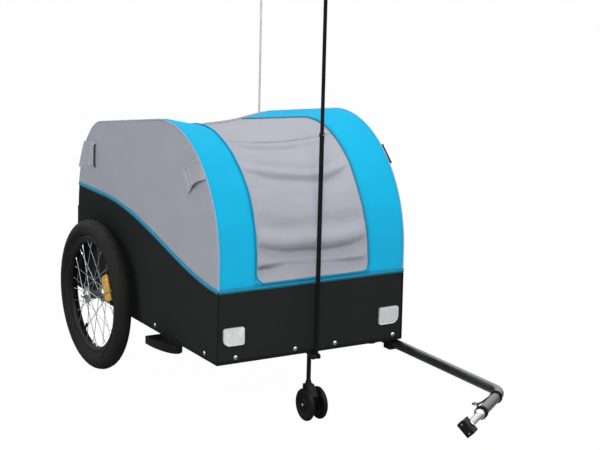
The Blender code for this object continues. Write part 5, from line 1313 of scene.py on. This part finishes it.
def make_handle():
    station, pivot_z, joint_z, top_z = -0.020, 0.1645, 0.704, 1.120
    outer, inner, wall, chamfer = 0.0055, 0.0045, 0.0005, 0.0003
    foot = at(0, station, 0)
    low = pivot_z - 0.0045
    dress("handle_bracket", "enamel", 0.0006)
    profile = [(low, outer - wall), (low, outer - chamfer), (low + chamfer, outer), (joint_z - 0.0004, outer),
               (joint_z, outer - chamfer), (joint_z, outer - wall)]
    turned("lower_pole", [(profile, foot, UP)], 40, "pole", "handle_lower", "handle_lower_tube",
           "black_paint")
    heads = []
    for out in (-1, 1):
        head = [(0, 0), (0, 0.0036), (out * 0.0012, 0.0033), (out * 0.0018, 0.0016), (out * 0.0018, 0)]
        heads.append((head, at(out * 0.0100, station, pivot_z), SIDEWAYS))
    turned("pivot_heads", heads, 24, "enamel", "chassis", closed=False)
    profile = [(0.0003, inner + wall), (0.0003, 0.0065), (0.0008, 0.0068)]
    for k in range(3):
        z = 0.0018 + k * 0.0022
        profile += [(z, 0.0068), (z + 0.0006, 0.0065), (z + 0.0012, 0.0068)]
    profile += [(0.0090, 0.0068), (0.0100, 0.0058), (0.0100, inner + wall)]
    turned("lock_sleeve", [(profile, at(0, station, joint_z), UP)], 40, "plastic", "handle_lock",
           "handle_collar", "black_plastic", angle=25)
    pin = [(0.0, 0.0), (0.0, 0.0018), (0.0010, 0.0017), (0.0017, 0.0009), (0.0017, 0.0)]
    turned("lock_pin", [(pin, at(0, station - 0.0066, joint_z + 0.005), (0, -1, 0))], 24, "chrome",
           "handle_lock", closed=False)
    start, end = joint_z - 0.060, top_z - 0.0143
    profile = [(start, inner - wall), (start, inner), (end, inner), (end, inner - wall)]
    turned("upper_pole", [(profile, foot, UP)], 36, "pole", "handle_upper", "handle_upper_tube",
           "black_paint")
    half, rib, groove = 0.060, 0.0140, 0.0133
    end = [(half, 0.0), (half, 0.0070), (half - 0.0015, 0.0104), (half - 0.004, 0.0128), (half - 0.008, rib)]
    profile = flipped(end, -1)
    for k in range(17):
        x = -half + 0.012 + k * 0.006
        profile += [(x, rib), (x + 0.0006, groove), (x + 0.0028, groove), (x + 0.0034, rib)]
    turned("grip_sleeve", [(profile + end[::-1], at(0, station, top_z), SIDEWAYS)], 48, "grip",
           "handle_upper", "handle_grip", "black_plastic", closed=False, angle=25)


# Flag


def make_flag():
    radius = 0.0030
    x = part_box("flag_rod")[0].x + 0.003
    station = LENGTH - 0.062
    bottom, top = 0.372, 1.400
    rod = [(bottom, 0.0), (bottom, 0.0029), (bottom + 0.0004, radius), (top - 0.001, radius), (top, 0.0018),
           (top, 0.0)]
    turned("flag_pole_rod", [(rod, at(x, station, 0), UP)], 24, "rod", "flag_pole", "flag_rod", "white_rod",
           closed=False)
    dress("flag_socket", "plastic", 0.0006, 2)
    length, tall = 0.190, 0.150
    start, high = station + 0.0033, 1.390
    wave = Ripple(31, 10, 0.07, 0.16, (1.0, 0.3))

    def place(u, v):
        share = u / length
        half = tall / 2 * (1 - share) + 0.0005
        out = 0.010 * share**0.8 * (math.sin(share * 7.0) + 0.5 * wave(u, v * 0.1))
        return at(x + out, start + u, high - tall / 2 + half * v)

    scale_uv(sheet_mesh("flag_cloth", spread(0.0, length, 60), spread(-1.0, 1.0, 30), place, "orange",
                        thickness=0.0008, body="flag_pole", stands_for="flag", slot="orange_cloth"))


# Tow arm and hitch

TOW_ANGLE = math.radians(52.9)
TOW_RADIUS = 0.012
TOW_LEG = 0.1685
LEG = Vector((-math.sin(TOW_ANGLE), -math.cos(TOW_ANGLE), 0))
SIDE = Vector((math.cos(TOW_ANGLE), -math.sin(TOW_ANGLE), 0))
ACROSS = (SIDE - UP).normalized()
BOLT = (SIDE + UP).normalized()
TOW_Z = BOTTOM - 0.0003 - 0.003 - 0.0005 - TOW_RADIUS
CORNER = at(0.255, -0.4205, TOW_Z)
TUBE_END = CORNER + LEG * TOW_LEG
HITCH_FRAME = Matrix.Translation(TUBE_END) @ Matrix((ACROSS, BOLT, LEG)).transposed().to_4x4()


def make_tow_arm():
    pivot = at(0.255, 0.130, TOW_Z)
    path = bent_path([pivot + Vector((0, 0.014, 0)), CORNER, TUBE_END], 0.050, 30)
    cords("tow_bar", [path], TOW_RADIUS, 36, "gloss", "black_paint", "tow_arm", "tow_tube")
    for node, paint, width, segments in (
            ("tow_pivot_bracket", "enamel", 0.0010, 3), ("tow_cradle", "enamel", 0.0010, 3),
            ("tow_pivot_knob", "plastic", 0.0010, 3), ("hitch_swivel", "zinc", 0.0006, 2),
            ("hitch_block", "plastic", 0.0008, 2)):
        dress(node, paint, width, segments)
    bm = bmesh.new()
    for end in (-1, 1):
        add_rod(bm, (0, end * 0.0112, 0.094), (0, end * 0.0152, 0.094), 0.0062, 6)
    bmesh.ops.bevel(bm, geom=bm.edges[:], offset=0.0005, segments=2, affect="EDGES", profile=0.5)
    bmesh.ops.transform(bm, matrix=HITCH_FRAME, verts=bm.verts)
    piece("hitch_nuts", bm, "zinc", "hitch_swivel", slot="zinc")
    bm = bmesh.new()
    stud = [(0.1126, 0.0), (0.1126, 0.0020), (0.1134, 0.0018), (0.1137, 0.0008), (0.1137, 0.0)]
    for x in (-0.0125, 0.0125):
        add_turned(bm, stud, (x, 0.0, 0.0), UP, 20)
    bmesh.ops.transform(bm, matrix=HITCH_FRAME, verts=bm.verts)
    piece("hitch_studs", bm, "chrome", "hitch_block")


def make_strap():
    """A cord behind the leg, with a ring halfway, between a band at the bend and one at the tube's end."""
    rear = -SIDE
    cord, wire, ring_radius = 0.0022, 0.0015, 0.0065
    beside = TOW_RADIUS + 0.0003 + cord
    bend, band = 0.040, TOW_LEG - 0.008
    along, out = 0.108, 0.0225
    stops = ((bend, beside), (0.052, beside + 0.0005), (along - 0.020, out - 0.004), (along, out),
             (along + 0.022, out - 0.005), (band, beside))
    bm = bmesh.new()
    add_tubes(bm, [smooth_path([CORNER + LEG * a + rear * b for a, b in stops], 8)], cord, 14)
    inner, outer, soft = 0.0123, 0.0150, 0.0145
    for place, half in ((band, 0.006), (bend, 0.003)):
        ring = [(-half, inner), (-half, soft), (-half + 0.0006, outer), (half - 0.0006, outer), (half, soft),
                (half, inner)]
        add_turned(bm, ring, CORNER + LEG * place, LEG, 36, closed=True)
    piece("strap_webbing", bm, "binding", "tow_arm", "safety_strap", "black_plastic", angle=50)
    centre = CORNER + LEG * along + rear * (out + ring_radius)
    turns = [t * 2 * math.pi / 32 for t in range(32)]
    circle = [centre + Vector((math.cos(t), math.sin(t), 0)) * ring_radius for t in turns]
    cords("strap_ring_steel", [circle], wire, 12, "enamel", "zinc", "tow_arm", closed=True)


# Light, floor and camera


def ray(tree, kind):
    """One for rays of a kind, and none for others."""
    path = tree.nodes.new("ShaderNodeLightPath")
    return Sock(tree, path.outputs[f"Is {kind} Ray"])


def seen_rays(tree):
    return ray(tree, "Camera").math("MAXIMUM", ray(tree, "Transmission"))


def make_floor():
    """A white sweep that the eye sees nearly without shade, and that reflections see painted dark grey."""
    bm = bmesh.new()
    bmesh.ops.create_grid(bm, x_segments=1, y_segments=1, size=FLOOR_SIZE)
    mesh = bpy.data.meshes.new("floor")
    bm.to_mesh(mesh)
    bm.free()
    floor = bpy.data.objects.new("floor", mesh)
    bpy.context.scene.collection.objects.link(floor)
    paint = Paint("floor_finish", (0.9, 0.9, 0.9), 0.9, Specular_IOR_Level=0.0)
    cloud = paint.noise(paint.object_point(), 1.5, 2.0)
    pale = paint.mix(cloud, (0.89, 0.89, 0.89), (0.91, 0.91, 0.91))
    # Reflections see the floor painted dark grey: painted shade that keeps the undersides of glossy parts
    # dark.
    paint.put("Base Color", paint.mix(ray(paint.tree, "Glossy"), pale, (0.35, 0.35, 0.35)))
    glow = paint.node("ShaderNodeEmission", Color=(1.0, 1.0, 1.0), Strength=1.0)
    blend = paint.tree.nodes.new("ShaderNodeMixShader")
    link(paint.tree, seen_rays(paint.tree) * FLOOR_GLOW, blend.inputs[0])
    paint.tree.links.new(paint.shader.outputs[0], blend.inputs[1])
    paint.tree.links.new(glow.outputs[0], blend.inputs[2])
    ends = [node for node in paint.tree.nodes if node.bl_idname == "ShaderNodeOutputMaterial"]
    paint.tree.links.new(blend.outputs[0], ends[0].inputs["Surface"])
    floor.data.materials.append(paint.material)


def make_light():
    """A pale sky, brighter overhead for reflections, and soft lamps."""
    world = bpy.data.worlds.new("studio")
    bpy.context.scene.world = world
    world.use_nodes = True
    tree = world.node_tree
    sky = tree.nodes["Background"]
    sky.inputs["Color"].default_value = (1.0, 1.0, 1.0, 1.0)
    coords = tree.nodes.new("ShaderNodeTexCoord")
    split = tree.nodes.new("ShaderNodeSeparateXYZ")
    tree.links.new(coords.outputs["Generated"], split.inputs[0])
    height = Sock(tree, split.outputs["Z"]).clip()
    shine = ray(tree, "Glossy") * (height * OVERHEAD_SHINE + LEVEL_SHINE)
    link(tree, seen_rays(tree) * (1.0 - SKY_LIGHT) + SKY_LIGHT + shine, sky.inputs["Strength"])
    for name, place, size, power in LAMPS:
        light = bpy.data.lights.new(name, "AREA")
        light.shape = "SQUARE"
        light.size = size
        light.energy = power
        lamp = bpy.data.objects.new(name, light)
        lamp.location = place
        lamp.rotation_euler = (LAMP_TARGET - Vector(place)).to_track_quat("-Z", "Y").to_euler()
        bpy.context.scene.collection.objects.link(lamp)


def make_camera():
    yaw, pitch, roll = CAMERA_YAW, CAMERA_PITCH, CAMERA_ROLL
    forward = Vector((math.sin(yaw) * math.cos(pitch), math.cos(yaw) * math.cos(pitch), -math.sin(pitch)))
    right = Vector((math.cos(yaw), -math.sin(yaw), 0))
    up = right.cross(forward)
    turned_right = right * math.cos(roll) - up * math.sin(roll)
    turned_up = right * math.sin(roll) + up * math.cos(roll)
    camera = bpy.data.cameras.new("camera")
    camera.sensor_fit = "HORIZONTAL"
    camera.sensor_width = SENSOR_WIDTH
    camera.lens = FOCAL_PIXELS * SENSOR_WIDTH / PICTURE_PIXELS
    holder = bpy.data.objects.new("camera", camera)
    turn = Matrix((turned_right, turned_up, -forward)).transposed()
    holder.matrix_world = Matrix.Translation(CAMERA_PLACE) @ turn.to_4x4()
    bpy.context.scene.collection.objects.link(holder)
    bpy.context.scene.camera = holder
    bpy.context.scene.view_settings.view_transform = "Standard"


for make_part in (make_canopy, make_sides, make_front_and_rear_skirts, make_piping, make_bindings,
                  make_stitches, make_tabs, make_pocket, make_reflectors, make_rivets, make_bows,
                  make_axle_parts, make_wheels, make_caster, make_handle, make_flag, make_tow_arm,
                  make_strap, dress_frame, make_floor, make_light, make_camera):
    make_part()
